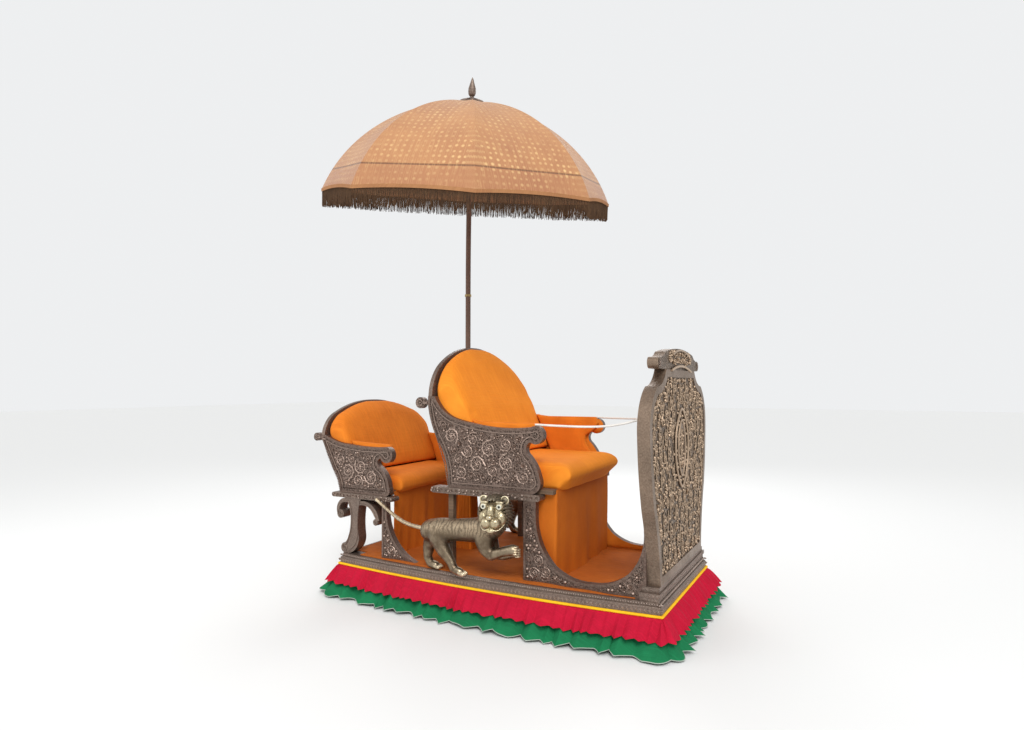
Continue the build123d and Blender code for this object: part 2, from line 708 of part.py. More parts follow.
with BuildPart() as pole:
    with BuildSketch(DOWN.offset(SOCKET_FLOOR + FIT)):
        with Locations((POLE_X, 0)):
            Circle(POLE_R)
    extrude(amount=FERRULE_Z - SOCKET_FLOOR - FIT)
    with BuildLine() as bow:
        ThreePointArc(pole_point(0), pole_point(LEAN / 2), pole_point(LEAN))
    with BuildSketch(Plane(origin=pole_point(0), z_dir=pole_direction(0))):
        Circle(POLE_R)
    sweep(path=bow.line)
save(pole, "pole")

with BuildPart() as pole_ferrule:
    with BuildSketch(DOWN.offset(FERRULE_Z - 12)):
        with Locations((POLE_X, 0)):
            Circle(POLE_R + 4)
            Circle(POLE_R, mode=Mode.SUBTRACT)
    extrude(amount=12)
save(pole_ferrule, "pole_ferrule")

# ---------------------------------------------------------------- parasol: canopy and frame
APOTHEM = CANOPY_R * cos(radians(180 / CANOPY_SIDES))
ARCH_R = (APOTHEM ** 2 + CANOPY_RISE ** 2) / (2 * CANOPY_RISE)
CAP_Z = 3                    # canopy's crown above the top of the pole


def dome(inset):
    """Eight-sided vault: crossed arched bodies, each as wide as two opposite gores."""
    radius = ARCH_R - inset
    drop = CANOPY_RISE
    half = sqrt(radius ** 2 - (ARCH_R - drop) ** 2)
    with BuildPart() as vault:
        for k in range(CANOPY_SIDES // 2):
            turn = radians((k + 0.5) * 360 / CANOPY_SIDES)
            across = HEAD.x_dir * cos(turn) + HEAD.y_dir * sin(turn)
            section = Plane(origin=HEAD.origin + HEAD.z_dir * CAP_Z, x_dir=across,
                            z_dir=across.cross(HEAD.z_dir))
            with BuildSketch(section.offset(-CANOPY_R)):
                with BuildLine():
                    ThreePointArc((-half, -drop), (0, -inset), (half, -drop))
                    Line((-half, -drop), (half, -drop))
                make_face()
            extrude(amount=2 * CANOPY_R, mode=Mode.ADD if k == 0 else Mode.INTERSECT)
    return vault.part


with BuildPart() as canopy:
    add(dome(0))
    add(dome(CANOPY_T), mode=Mode.SUBTRACT)
    with BuildSketch(HEAD.offset(-50)):
        Circle(POLE_R + FIT)
    extrude(amount=100, mode=Mode.SUBTRACT)
save(canopy, "canopy")

RIM = HEAD.offset(CAP_Z - CANOPY_RISE)
with BuildPart() as fringe:
    with BuildSketch(RIM):
        RegularPolygon(CANOPY_R - 1, CANOPY_SIDES)
        RegularPolygon(CANOPY_R - 1 - FRINGE_T, CANOPY_SIDES, mode=Mode.SUBTRACT)
    extrude(amount=-FRINGE_DROP)
save(fringe, "fringe")


def hip_radius(depth, inset):
    """Distance from the axis to a hip of the vault at a depth below its crown."""
    radius = ARCH_R - inset
    return sqrt(radius ** 2 - (ARCH_R - depth) ** 2) / cos(radians(180 / CANOPY_SIDES))


with BuildPart() as canopy_ribs:
    with BuildSketch(HEAD.offset(-HUB_H)):
        Circle(HUB_R)
    extrude(amount=HUB_H - 8)
    for k in range(CANOPY_SIDES):
        turn = radians(k * 360 / CANOPY_SIDES)
        across = HEAD.x_dir * cos(turn) + HEAD.y_dir * sin(turn)
        section = Plane(origin=HEAD.origin + HEAD.z_dir * CAP_Z, x_dir=across, z_dir=across.cross(HEAD.z_dir))
        depths = (14, 170, CANOPY_RISE - 3)
        outer_pts = [(hip_radius(d, CANOPY_T + 6) if d > 20 else 24, -d) for d in depths]
        inner_pts = [(hip_radius(d, CANOPY_T + 6 + RIB_T) if d > 20 else 20, -d - (RIB_T if d < 20 else 0))
                     for d in depths]
        with BuildSketch(section):
            with BuildLine():
                ThreePointArc(*outer_pts)
                ThreePointArc(*inner_pts)
                Line(outer_pts[0], inner_pts[0])
                Line(outer_pts[-1], inner_pts[-1])
            make_face()
        extrude(amount=RIB_W / 2, both=True)
    with BuildSketch(HEAD.offset(-HUB_H)):
        Circle(POLE_R + FIT)
    extrude(amount=HUB_H, mode=Mode.SUBTRACT)
save(canopy_ribs, "canopy_ribs")

runner_lean = LEAN - degrees(RUNNER_DROP / LEAN_RADIUS)
RUNNER = Plane(origin=pole_point(runner_lean), x_dir=HEAD.x_dir, z_dir=pole_direction(runner_lean))
with BuildPart() as stretchers:
    with BuildSketch(RUNNER.offset(-RUNNER_H / 2)):
        Circle(RUNNER_R)
    extrude(amount=RUNNER_H)
    for k in range(CANOPY_SIDES):
        turn = radians(k * 360 / CANOPY_SIDES)
        across = HEAD.x_dir * cos(turn) + HEAD.y_dir * sin(turn)
        start = RUNNER.origin + across * (RUNNER_R - 6)
        depth = ARCH_R - sqrt(ARCH_R ** 2 - (STRETCHER_REACH * cos(radians(180 / CANOPY_SIDES))) ** 2)
        end = HEAD.origin + HEAD.z_dir * (CAP_Z - depth - CANOPY_T - RIB_T - 12) + across * (STRETCHER_REACH - 12)
        with BuildSketch(Plane(origin=start, z_dir=end - start)):
            Circle(STRETCHER_R)
        extrude(amount=(end - start).length)
    with BuildSketch(RUNNER.offset(-RUNNER_H)):
        Circle(POLE_R + FIT)
    extrude(amount=2 * RUNNER_H, mode=Mode.SUBTRACT)
save(stretchers, "stretchers")

CROWN_R = 66
with BuildPart() as crown_cap:
    with BuildSketch(Plane(origin=HEAD.origin + HEAD.z_dir * CAP_Z, x_dir=HEAD.x_dir, z_dir=HEAD.y_dir * -1)):
        with BuildLine():
            Polyline((0, FIT), (CROWN_R, FIT - 1.5), (CROWN_R, 1.5), (40, 10), (18, 22), (0, 22), close=True)
        make_face()
    revolve(axis=Axis(HEAD.origin, HEAD.z_dir))
save(crown_cap, "crown_cap")

# finial outline: radius, height above the crown cap
FINIAL = ((0, 22), (12, 22), (9, 30), (16, 38), (21, 52), (20, 70), (13, 92), (5, 118), (0, 128))
with BuildPart() as finial:
    with BuildSketch(Plane(origin=HEAD.origin + HEAD.z_dir * CAP_Z, x_dir=HEAD.x_dir, z_dir=HEAD.y_dir * -1)):
        with BuildLine():
            Polyline(*FINIAL, close=True)
        make_face()
    revolve(axis=Axis(HEAD.origin, HEAD.z_dir))
save(finial, "finial")

# ---------------------------------------------------------------- safety cords
CORD_R = 5
STAPLE_Z = 795
STAPLE_Y = 408
# each cord as a hand-laid route: x, distance from the centre plane, height
CORD_ROUTE = (
    (276, 386, 755.3),
    (330, 389, 754.5),
    (400, 392, 753.4),
    (470, 395, 752.9),
    (540, 398, 753.7),
    (610, 401, 757.6),
    (675, 404, 766),
    (735, 407, 781),
    (785, 409, 795),
)
for hand, hand_name in HANDS:
    points = [Vector(x, -hand * y, BASE_Z + z) for x, y, z in CORD_ROUTE]
    runs = [(b - a).length for a, b in zip(points, points[1:])]
    radii = []
    for i in range(1, len(points) - 1):
        turn = (points[i] - points[i - 1]).get_angle(points[i + 1] - points[i])
        radii.append(0.45 * min(runs[i - 1], runs[i]) / tan(radians(turn) / 2))
    with BuildPart() as cord:
        with BuildLine() as route:
            path = FilletPolyline(*points, radius=radii)
        with BuildSketch(Plane(origin=points[0], z_dir=points[1] - points[0])):
            Circle(CORD_R)
        sweep(path=path)
    print(f"cord {hand_name}: length {path.length:.1f}, radii", [round(r) for r in radii])
    print(f"   volume {cord.part.volume:.0f} against {pi * CORD_R ** 2 * path.length:.0f}")
    save(cord, f"cord_{hand_name}")

with BuildPart() as cord_staples:
    for s in (1, -1):
        with BuildSketch(FACE.offset(PANEL_REAR)):
            with Locations((s * STAPLE_Y, STAPLE_Z)):
                Circle(9)
        extrude(amount=-10)
save(cord_staples, "cord_staples")
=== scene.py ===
"""Looks of a two-seat elephant howdah with a lift-out parasol.

Metres.  +X runs forward to the tall front board, +Y to the rider's left and +Z up.  Heights
called h are above the underside of the base, which lies BASE_Z above the floor.
"""
import json
import random
from math import atan2, cos, hypot, pi, radians, sin

import bpy
from mathutils import Matrix, Vector
from mathutils.bvhtree import BVHTree


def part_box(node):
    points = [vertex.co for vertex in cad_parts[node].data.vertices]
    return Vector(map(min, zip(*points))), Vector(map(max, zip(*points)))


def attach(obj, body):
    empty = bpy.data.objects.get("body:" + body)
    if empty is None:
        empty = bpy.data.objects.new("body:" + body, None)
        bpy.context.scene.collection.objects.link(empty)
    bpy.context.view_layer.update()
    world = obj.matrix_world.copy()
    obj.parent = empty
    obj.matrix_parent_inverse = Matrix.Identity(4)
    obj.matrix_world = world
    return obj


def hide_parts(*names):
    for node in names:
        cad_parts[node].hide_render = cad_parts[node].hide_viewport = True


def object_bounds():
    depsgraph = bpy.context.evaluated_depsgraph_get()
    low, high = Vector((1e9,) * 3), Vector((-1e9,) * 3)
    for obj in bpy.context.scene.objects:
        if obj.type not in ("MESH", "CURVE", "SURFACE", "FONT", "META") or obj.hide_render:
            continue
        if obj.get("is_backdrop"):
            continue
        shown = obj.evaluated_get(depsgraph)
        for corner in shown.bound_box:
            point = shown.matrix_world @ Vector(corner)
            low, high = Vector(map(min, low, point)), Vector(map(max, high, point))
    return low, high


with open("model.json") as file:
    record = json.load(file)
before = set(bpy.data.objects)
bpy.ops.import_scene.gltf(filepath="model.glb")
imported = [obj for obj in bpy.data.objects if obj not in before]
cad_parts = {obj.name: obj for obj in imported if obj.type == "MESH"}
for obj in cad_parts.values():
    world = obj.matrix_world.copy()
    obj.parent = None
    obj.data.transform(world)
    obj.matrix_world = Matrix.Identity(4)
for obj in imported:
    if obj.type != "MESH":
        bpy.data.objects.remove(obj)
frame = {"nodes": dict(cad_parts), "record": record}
cad_low, cad_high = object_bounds()
NODES = frame["nodes"]
BASE_Z = 0.160                # underside of the base, above the floor
SIDE_FACE = 0.400             # outer faces of the side boards, from the centre plane
FRONT_FACE = 0.843            # outer face of the front board, along X
POLE_X = -0.331               # the parasol's pole, its post and its ring
HANDS = ((-1, "right"), (1, "left"))          # the sign of Y on each side


# ================================================================ working by hand
def only(*objects):
    """Nothing selected but these, the first of them active, in object mode."""
    if bpy.context.object and bpy.context.object.mode != "OBJECT":
        bpy.ops.object.mode_set(mode="OBJECT")
    bpy.ops.object.select_all(action="DESELECT")
    for o in objects:
        o.select_set(True)
    if objects:
        bpy.context.view_layer.objects.active = objects[0]


def named(name):
    """The object just added, under its plain name."""
    piece = bpy.context.object
    piece.name = piece.data.name = name
    return piece


def settle(piece):
    """Its place goes into its mesh, and the object stays at the origin."""
    only(piece)
    bpy.ops.object.transform_apply(location=True, rotation=True, scale=True)
    return piece


def smooth(piece, angle):
    """Smooth shading, but for edges sharper than an angle in degrees."""
    only(piece)
    bpy.ops.object.shade_smooth_by_angle(angle=radians(angle))
    return piece


def modifier(piece, kind, **settings):
    """Adds one modifier with its settings and applies it."""
    only(piece)
    m = piece.modifiers.new(kind.title(), kind)
    for key, value in settings.items():
        setattr(m, key, value)
    bpy.ops.object.modifier_apply(modifier=m.name)
    return piece


def in_edit(piece, *steps):
    """Runs each step in edit mode, with the whole piece selected before it."""
    only(piece)
    bpy.ops.object.mode_set(mode="EDIT")
    for step in steps:
        bpy.ops.mesh.select_all(action="SELECT")
        step()
    bpy.ops.object.mode_set(mode="OBJECT")


def weld(piece, gap=0.0001):
    """Merges the points that lie closer than a gap."""
    in_edit(piece, lambda: bpy.ops.mesh.remove_doubles(threshold=gap))


def keep_faces(piece, wanted):
    """Deletes every face but those that a test wants."""
    only(piece)
    bpy.ops.object.mode_set(mode="EDIT")
    bpy.ops.mesh.select_mode(type="FACE")
    bpy.ops.mesh.select_all(action="DESELECT")
    bpy.ops.object.mode_set(mode="OBJECT")
    for face in piece.data.polygons:
        face.select = not wanted(face)
    bpy.ops.object.mode_set(mode="EDIT")
    bpy.ops.mesh.delete(type="FACE")
    bpy.ops.object.mode_set(mode="OBJECT")


def joined(name, pieces):
    """Pieces made one, with its place in its mesh."""
    only(*pieces)
    if len(pieces) > 1:
        bpy.ops.object.join()
    return settle(named(name))


def copy_of(piece, matrix):
    """A copy with its own mesh, laid by a matrix."""
    twin = piece.copy()
    twin.data = piece.data.copy()
    bpy.context.scene.collection.objects.link(twin)
    twin.data.transform(matrix)
    if matrix.determinant() < 0:
        twin.data.flip_normals()
    return twin


def drop(*pieces):
    """Takes away pieces that were only made to be copied."""
    for piece in pieces:
        bpy.data.objects.remove(piece)


def node_copy(node, name):
    """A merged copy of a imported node's mesh, to be worked on."""
    piece = NODES[node].copy()
    piece.data = piece.data.copy()
    bpy.context.scene.collection.objects.link(piece)
    piece.parent = None
    for key in list(piece.keys()):
        del piece[key]
    piece.name = piece.data.name = name
    weld(piece, 0.0002)
    in_edit(piece, bpy.ops.mesh.customdata_custom_splitnormals_clear)
    return piece


def dress(piece, body, material):
    """Material and the body it rides on."""
    piece.data.materials.clear()
    piece.data.materials.append(material)
    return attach(piece, body)


def bent_bar(points, radius, sides, steps=None, swell=None, capped=True):
    """A round bar as a curve through given points; swell is each point's share of the radius."""
    only()
    bpy.ops.curve.primitive_nurbs_path_add()
    bar = bpy.context.object
    bar.data.splines.clear()
    spline = bar.data.splines.new("NURBS")
    spline.points.add(len(points) - 1)
    for point, co, share in zip(spline.points, points, swell or [1] * len(points)):
        point.co = (*co, 1)
        point.radius = share
    spline.order_u = 3
    spline.use_endpoint_u = True
    if steps:
        spline.resolution_u = steps
    bar.data.dimensions = "3D"
    bar.data.bevel_depth = radius
    bar.data.bevel_resolution = sides
    bar.data.use_fill_caps = capped
    return bar


def as_mesh(curve):
    """A curve or a metaball turned into a mesh."""
    only(curve)
    bpy.ops.object.convert(target="MESH")
    return bpy.context.object


# ================================================================ shader groups
def new_group(name, inputs, outputs):
    """An empty group with its sockets: inputs are (label, kind, value), outputs (label, kind)."""
    group = bpy.data.node_groups.new(name, "ShaderNodeTree")
    for label, kind, value in inputs:
        socket = group.interface.new_socket(label, in_out="INPUT", socket_type=f"NodeSocket{kind}")
        if value is not None:
            socket.default_value = value
    for label, kind in outputs:
        group.interface.new_socket(label, in_out="OUTPUT", socket_type=f"NodeSocket{kind}")
    return group, group.nodes.new("NodeGroupInput"), group.nodes.new("NodeGroupOutput")


def add_node(tree, kind, links=(), **settings):
    """One shader node; links are (input name or number, source socket or value)."""
    node = tree.nodes.new(kind)
    for key, value in settings.items():
        setattr(node, key, value)
    for key, source in links:
        if isinstance(source, bpy.types.NodeSocket):
            tree.links.new(source, node.inputs[key])
        else:
            node.inputs[key].default_value = source
    return node


def maths(tree, operation, a, b=0.0, clamp=False):
    return add_node(tree, "ShaderNodeMath", ((0, a), (1, b)), operation=operation, use_clamp=clamp).outputs[0]


def times(tree, a, b):
    return maths(tree, "MULTIPLY", a, b)


def one_less(tree, a):
    return maths(tree, "SUBTRACT", 1.0, a)


def ramp(tree, factor, low, high):
    """0 below low, 1 above high."""
    return add_node(tree, "ShaderNodeMapRange", ((0, factor), (1, low), (2, high)), clamp=True,
                    interpolation_type="SMOOTHSTEP").outputs[0]


def seen_on(tree, output="Object"):
    """The place or the way out of each point, from the piece's own coordinates."""
    return add_node(tree, "ShaderNodeTexCoord").outputs[output]


def build_worn_edges():
    """Raised edges rubbed bright and hollows left dark, from the lie of the mesh."""
    g, i, o = new_group("worn edges", (("Edge Start", "Float", 0.52), ("Edge Full", "Float", 0.60),
                                       ("Hollow Start", "Float", 0.49), ("Hollow Full", "Float", 0.42),
                                       ("Breakup", "Float", 0.5)),
                        (("Rubbed", "Float"), ("Hollow", "Float")))
    geometry = add_node(g, "ShaderNodeNewGeometry")
    noise = add_node(g, "ShaderNodeTexNoise", (("Vector", seen_on(g)), ("Scale", 70.0), ("Detail", 3.0)))
    shift = times(g, maths(g, "SUBTRACT", noise.outputs["Fac"], 0.5), i.outputs["Breakup"])
    point = maths(g, "ADD", geometry.outputs["Pointiness"], times(g, shift, 0.08))
    rubbed = add_node(g, "ShaderNodeMapRange", ((0, point), (1, i.outputs[0]), (2, i.outputs[1])), clamp=True)
    hollow = add_node(g, "ShaderNodeMapRange", ((0, point), (1, i.outputs[2]), (2, i.outputs[3])), clamp=True)
    g.links.new(rubbed.outputs[0], o.inputs["Rubbed"])
    g.links.new(hollow.outputs[0], o.inputs["Hollow"])
    return g


def build_chasing():
    """Fine punched and curled work that fills the ground between the raised scrolls."""
    g, i, o = new_group("chased ground", (("Scale", "Float", 60.0), ("Curl", "Float", 0.03)),
                        (("Height", "Float"), ("Crest", "Float")))
    coords = seen_on(g)
    swirl = add_node(g, "ShaderNodeTexNoise", (("Vector", coords), ("Scale", 22.0), ("Detail", 2.0)))

    def vectors(operation, a, key, b):
        return add_node(g, "ShaderNodeVectorMath", ((0, a), (key, b)), operation=operation).outputs[0]
    push = vectors("SUBTRACT", swirl.outputs["Color"], 1, (0.5, 0.5, 0.5))
    place = vectors("ADD", coords, 1, vectors("SCALE", push, "Scale", i.outputs["Curl"]))
    cells, rings = (add_node(g, "ShaderNodeTexVoronoi", (("Vector", place), ("Scale", i.outputs["Scale"])),
                             feature=feature) for feature in ("DISTANCE_TO_EDGE", "F1"))
    stem = ramp(g, cells.outputs["Distance"], 0.10, 0.02)
    curl = maths(g, "SINE", times(g, rings.outputs["Distance"], 22.0))
    crest = maths(g, "MAXIMUM", stem, times(g, ramp(g, curl, -0.2, 0.9), 0.8))
    g.links.new(crest, o.inputs["Crest"])
    g.links.new(crest, o.inputs["Height"])
    return g


def build_weave():
    """Plain weave: warp and weft ribs along two axes of the cloth, with slubs."""
    g, i, o = new_group("woven cloth",
                        (("Vector", "Vector", None), ("Threads", "Float", 900.0), ("Rib", "Float", 0.6)),
                        (("Height", "Float"), ("Slub", "Float")))
    split = add_node(g, "ShaderNodeSeparateXYZ", ((0, i.outputs["Vector"]),))
    warp, weft = (maths(g, "SINE", times(g, split.outputs[k], i.outputs["Threads"])) for k in range(2))
    both = maths(g, "ADD", times(g, warp, i.outputs["Rib"]), weft)
    drawn_out = add_node(g, "ShaderNodeMapping",
                         (("Vector", i.outputs["Vector"]), ("Scale", (240.0, 9.0, 9.0)))).outputs[0]
    slub = add_node(g, "ShaderNodeTexNoise", (("Vector", drawn_out), ("Scale", 1.0), ("Detail", 3.0)))
    g.links.new(both, o.inputs["Height"])
    g.links.new(slub.outputs["Fac"], o.inputs["Slub"])
    return g


def build_blotches():
    """Slow change over a whole piece, such as fading, soiling and tarnish."""
    g, i, o = new_group("blotches",
                        (("Scale", "Float", 4.0), ("Low", "Float", 0.35), ("High", "Float", 0.65)),
                        (("Amount", "Float"),))
    noise = add_node(g, "ShaderNodeTexNoise", (("Vector", seen_on(g)), ("Scale", i.outputs["Scale"]),
                                               ("Detail", 5.0), ("Roughness", 0.6)))
    amount = add_node(g, "ShaderNodeMapRange", ((0, noise.outputs["Fac"]), (1, i.outputs["Low"]),
                                                (2, i.outputs["High"])), clamp=True)
    g.links.new(amount.outputs[0], o.inputs["Amount"])
    return g


def build_grain():
    """Wood grain along one axis."""
    g, i, o = new_group("wood grain", (("Stretch", "Vector", (30.0, 30.0, 1.5)), ("Contrast", "Float", 1.0)),
                        (("Grain", "Float"),))
    place = add_node(g, "ShaderNodeMapping", (("Vector", seen_on(g)), ("Scale", i.outputs["Stretch"])))
    noise = add_node(g, "ShaderNodeTexNoise", (("Vector", place.outputs[0]), ("Scale", 3.0), ("Detail", 6.0),
                                               ("Distortion", 0.6)))
    grain = times(g, maths(g, "SUBTRACT", noise.outputs["Fac"], 0.5), i.outputs["Contrast"])
    g.links.new(maths(g, "ADD", grain, 0.5), o.inputs["Grain"])
    return g


WORN = build_worn_edges()
CHASED = build_chasing()
WOVEN = build_weave()
BLOTCHES = build_blotches()
GRAIN = build_grain()


# ================================================================ materials
BORDER_DOWN = 0.825          # the canopy's sewn border, measured down the cloth from the crown


def new_material(name, **sockets):
    """A material with its Principled shader; plain numbers are set on the shader itself."""
    material = bpy.data.materials.new(name)
    material.use_nodes = True
    tree = material.node_tree
    shader = next(n for n in tree.nodes if n.type == "BSDF_PRINCIPLED")
    for key, value in sockets.items():
        shader.inputs[key.replace("_", " ")].default_value = value
    return material, tree, shader


def placed(tree, group, **values):
    """One of the shared groups, with this material's values."""
    node = tree.nodes.new("ShaderNodeGroup")
    node.node_tree = group
    for key, value in values.items():
        socket = node.inputs[key.replace("_", " ")]
        if isinstance(value, bpy.types.NodeSocket):
            tree.links.new(value, socket)
        else:
            socket.default_value = value
    return node


def mix(tree, factor, a, b):
    """Colour a where the factor is 0, colour b where it is 1."""
    node = tree.nodes.new("ShaderNodeMix")
    node.data_type = "RGBA"
    for key, value in ((0, factor), (6, a), (7, b)):
        if isinstance(value, bpy.types.NodeSocket):
            tree.links.new(value, node.inputs[key])
        else:
            node.inputs[key].default_value = (*value, 1.0) if key else value
    return node.outputs[2]


def bump(tree, shader, height, strength, distance):
    """Fine relief from a height, by shading alone."""
    node = add_node(tree, "ShaderNodeBump",
                    (("Height", height), ("Strength", strength), ("Distance", distance)))
    tree.links.new(node.outputs[0], shader.inputs["Normal"])


def shade(colour, share):
    """A colour made darker or lighter."""
    return tuple(share * c for c in colour)


def measured(tree, output, axis):
    """How far from the middle along one axis: of the place (Object) or of the way out (Normal)."""
    split = add_node(tree, "ShaderNodeSeparateXYZ", ((0, seen_on(tree, output)),))
    return maths(tree, "ABSOLUTE", split.outputs[axis])


def silver(name, dark, mid, bright, chased=0.0, scale=60.0, edges=True, stripes_and_shaded_underside=False, rub=(0.53, 0.66),
           ground=None, relief=None, polish=(0.36, 0.55)):
    """Old beaten silver: dark in its hollows, grey on the flat and rubbed bright on edges and crests.

    ground is the axis and plane of a chased flat, and relief the axis, foot and crest of raised work.
    """
    material, tree, shader = new_material(name, Specular_IOR_Level=0.5)
    tarnish = placed(tree, BLOTCHES, Scale=9.0, Low=0.3, High=0.7).outputs[0]
    grain = placed(tree, BLOTCHES, Scale=160.0, Low=0.3, High=0.75).outputs[0]
    colour = mix(tree, tarnish, mid, shade(mid, 0.60))
    colour = mix(tree, times(tree, grain, 0.35), colour, bright)
    height = grain
    if chased:
        axis, plane = ground
        work = placed(tree, CHASED, Scale=scale)
        crest = work.outputs["Crest"]
        field = times(tree, ramp(tree, measured(tree, "Normal", axis), 0.85, 0.95),
                      ramp(tree, measured(tree, "Object", axis), plane + 0.0022, plane + 0.0012))
        colour = mix(tree, times(tree, one_less(tree, crest), times(tree, field, chased)), colour, dark)
        colour = mix(tree, times(tree, times(tree, crest, field), 0.22), colour, bright)
        height = maths(tree, "ADD", times(tree, times(tree, work.outputs["Height"], field), 3.0), height)
    if relief:
        axis, foot, top = relief
        depth = measured(tree, "Object", axis)
        colour = mix(tree, ramp(tree, depth, foot + 0.0015, foot), colour, dark)
        colour = mix(tree, times(tree, ramp(tree, depth, foot + 0.001, top), 0.8), colour, bright)
    if stripes_and_shaded_underside:
        bands = add_node(tree, "ShaderNodeTexWave",
                         (("Vector", seen_on(tree)), ("Scale", 15.0), ("Distortion", 9.0), ("Detail", 2.0),
                          ("Detail Scale", 1.5)), bands_direction="X")
        # below the back, the cat's lower body and legs are painted darker as shade; the chased stripes run
        # only along the back
        along_back = ramp(tree, measured(tree, "Object", 2), BASE_Z + 0.225, BASE_Z + 0.265)
        colour = mix(tree, one_less(tree, along_back), colour, shade(mid, 0.45))
        broken = times(tree, ramp(tree, bands.outputs["Fac"], 0.36, 0.14), along_back)
        colour = mix(tree, times(tree, broken, 0.55), colour, dark)
    if edges:
        worn = placed(tree, WORN, Edge_Start=rub[0], Edge_Full=rub[1], Hollow_Start=0.50, Hollow_Full=0.43)
        colour = mix(tree, worn.outputs["Hollow"], colour, dark)
        colour = mix(tree, times(tree, worn.outputs["Rubbed"], 0.8), colour, bright)
        metal = maths(tree, "SUBTRACT", 0.85, times(tree, worn.outputs["Hollow"], 0.6), clamp=True)
        tree.links.new(metal, shader.inputs["Metallic"])
    else:
        shader.inputs["Metallic"].default_value = 0.75
    tree.links.new(colour, shader.inputs["Base Color"])
    rough = add_node(tree, "ShaderNodeMapRange", ((0, tarnish), (3, polish[0]), (4, polish[1])))
    tree.links.new(rough.outputs[0], shader.inputs["Roughness"])
    bump(tree, shader, height, 0.5, 0.0012)
    return material


def cloth(name, light, dark, threads=900.0, slubs=0.5, blotch=5.0, sheen=0.08, hem=None):
    """Woven cotton: ribs of thread, slubs, soiling and a little sheen; hem is (how far down, colour)."""
    material, tree, shader = new_material(name, Roughness=0.85, Sheen_Weight=sheen, Sheen_Roughness=0.5,
                                          Sheen_Tint=(*light, 1), Specular_IOR_Level=0.15)
    turned = add_node(tree, "ShaderNodeMapping",
                      (("Vector", seen_on(tree)), ("Rotation", (0.0, 0.0, pi / 2)))).outputs[0]
    weave = placed(tree, WOVEN, Vector=turned, Threads=threads)
    soil = placed(tree, BLOTCHES, Scale=blotch, Low=0.32, High=0.72)
    colour = mix(tree, times(tree, soil.outputs[0], 0.55), light, dark)
    slub = times(tree, ramp(tree, weave.outputs["Slub"], 0.40, 0.80), slubs)
    colour = mix(tree, slub, colour, tuple(min(1.0, c) for c in shade(light, 1.25)))
    if hem:
        place = add_node(tree, "ShaderNodeUVMap").outputs[0]
        down = add_node(tree, "ShaderNodeSeparateXYZ", ((0, place),)).outputs[1]
        colour = mix(tree, ramp(tree, down, hem[0], hem[0] + 0.008), colour, hem[1])
    tree.links.new(colour, shader.inputs["Base Color"])
    bump(tree, shader, weave.outputs["Height"], 0.25, 0.0006)
    return material


def brocade(name, light, dark, gold):
    """Faded silk of the canopy: rows of small spots and a sewn border near the hem."""
    material, tree, shader = new_material(name, Roughness=0.7, Sheen_Weight=0.25, Sheen_Roughness=0.4)
    place = add_node(tree, "ShaderNodeUVMap").outputs[0]
    down = add_node(tree, "ShaderNodeSeparateXYZ", ((0, place),)).outputs[1]
    soil = placed(tree, BLOTCHES, Scale=3.5, Low=0.32, High=0.7)
    colour = mix(tree, times(tree, soil.outputs[0], 0.6), light, dark)
    dots = add_node(tree, "ShaderNodeTexVoronoi", (("Vector", place), ("Scale", 31.0), ("Randomness", 0.22)))
    faded = placed(tree, BLOTCHES, Scale=5.5, Low=0.40, High=0.66)
    spot = times(tree, ramp(tree, dots.outputs["Distance"], 0.34, 0.14),
                 maths(tree, "ADD", times(tree, faded.outputs[0], 0.65), 0.18))
    colour = mix(tree, spot, colour, gold)
    band = times(tree, ramp(tree, down, BORDER_DOWN - 0.006, BORDER_DOWN - 0.002),
                 ramp(tree, down, BORDER_DOWN + 0.008, BORDER_DOWN + 0.004))
    colour = mix(tree, times(tree, band, 0.75), colour, shade(dark, 0.35))
    below = times(tree, ramp(tree, down, BORDER_DOWN, BORDER_DOWN + 0.02), 0.35)
    colour = mix(tree, below, colour, dark)
    weave = placed(tree, WOVEN, Vector=place, Threads=1500.0)
    colour = mix(tree, times(tree, ramp(tree, weave.outputs["Slub"], 0.45, 0.8), 0.35), colour, gold)
    tree.links.new(colour, shader.inputs["Base Color"])
    height = maths(tree, "ADD", times(tree, spot, 1.5), weave.outputs["Height"])
    bump(tree, shader, maths(tree, "SUBTRACT", height, times(tree, band, 4.0)), 0.3, 0.0006)
    return material


def wood(name, light, dark, stretch, rough=0.6):
    """Wood, cane or twisted thread, its grain stretched along one axis."""
    material, tree, shader = new_material(name, Specular_IOR_Level=0.35)
    grain = placed(tree, GRAIN, Stretch=stretch, Contrast=1.8).outputs[0]
    soil = placed(tree, BLOTCHES, Scale=6.0).outputs[0]
    colour = mix(tree, times(tree, soil, 0.4), mix(tree, grain, dark, light), dark)
    tree.links.new(colour, shader.inputs["Base Color"])
    roughness = add_node(tree, "ShaderNodeMapRange", ((0, grain), (3, rough - 0.12), (4, rough + 0.15)))
    tree.links.new(roughness.outputs[0], shader.inputs["Roughness"])
    bump(tree, shader, grain, 0.4, 0.001)
    return material


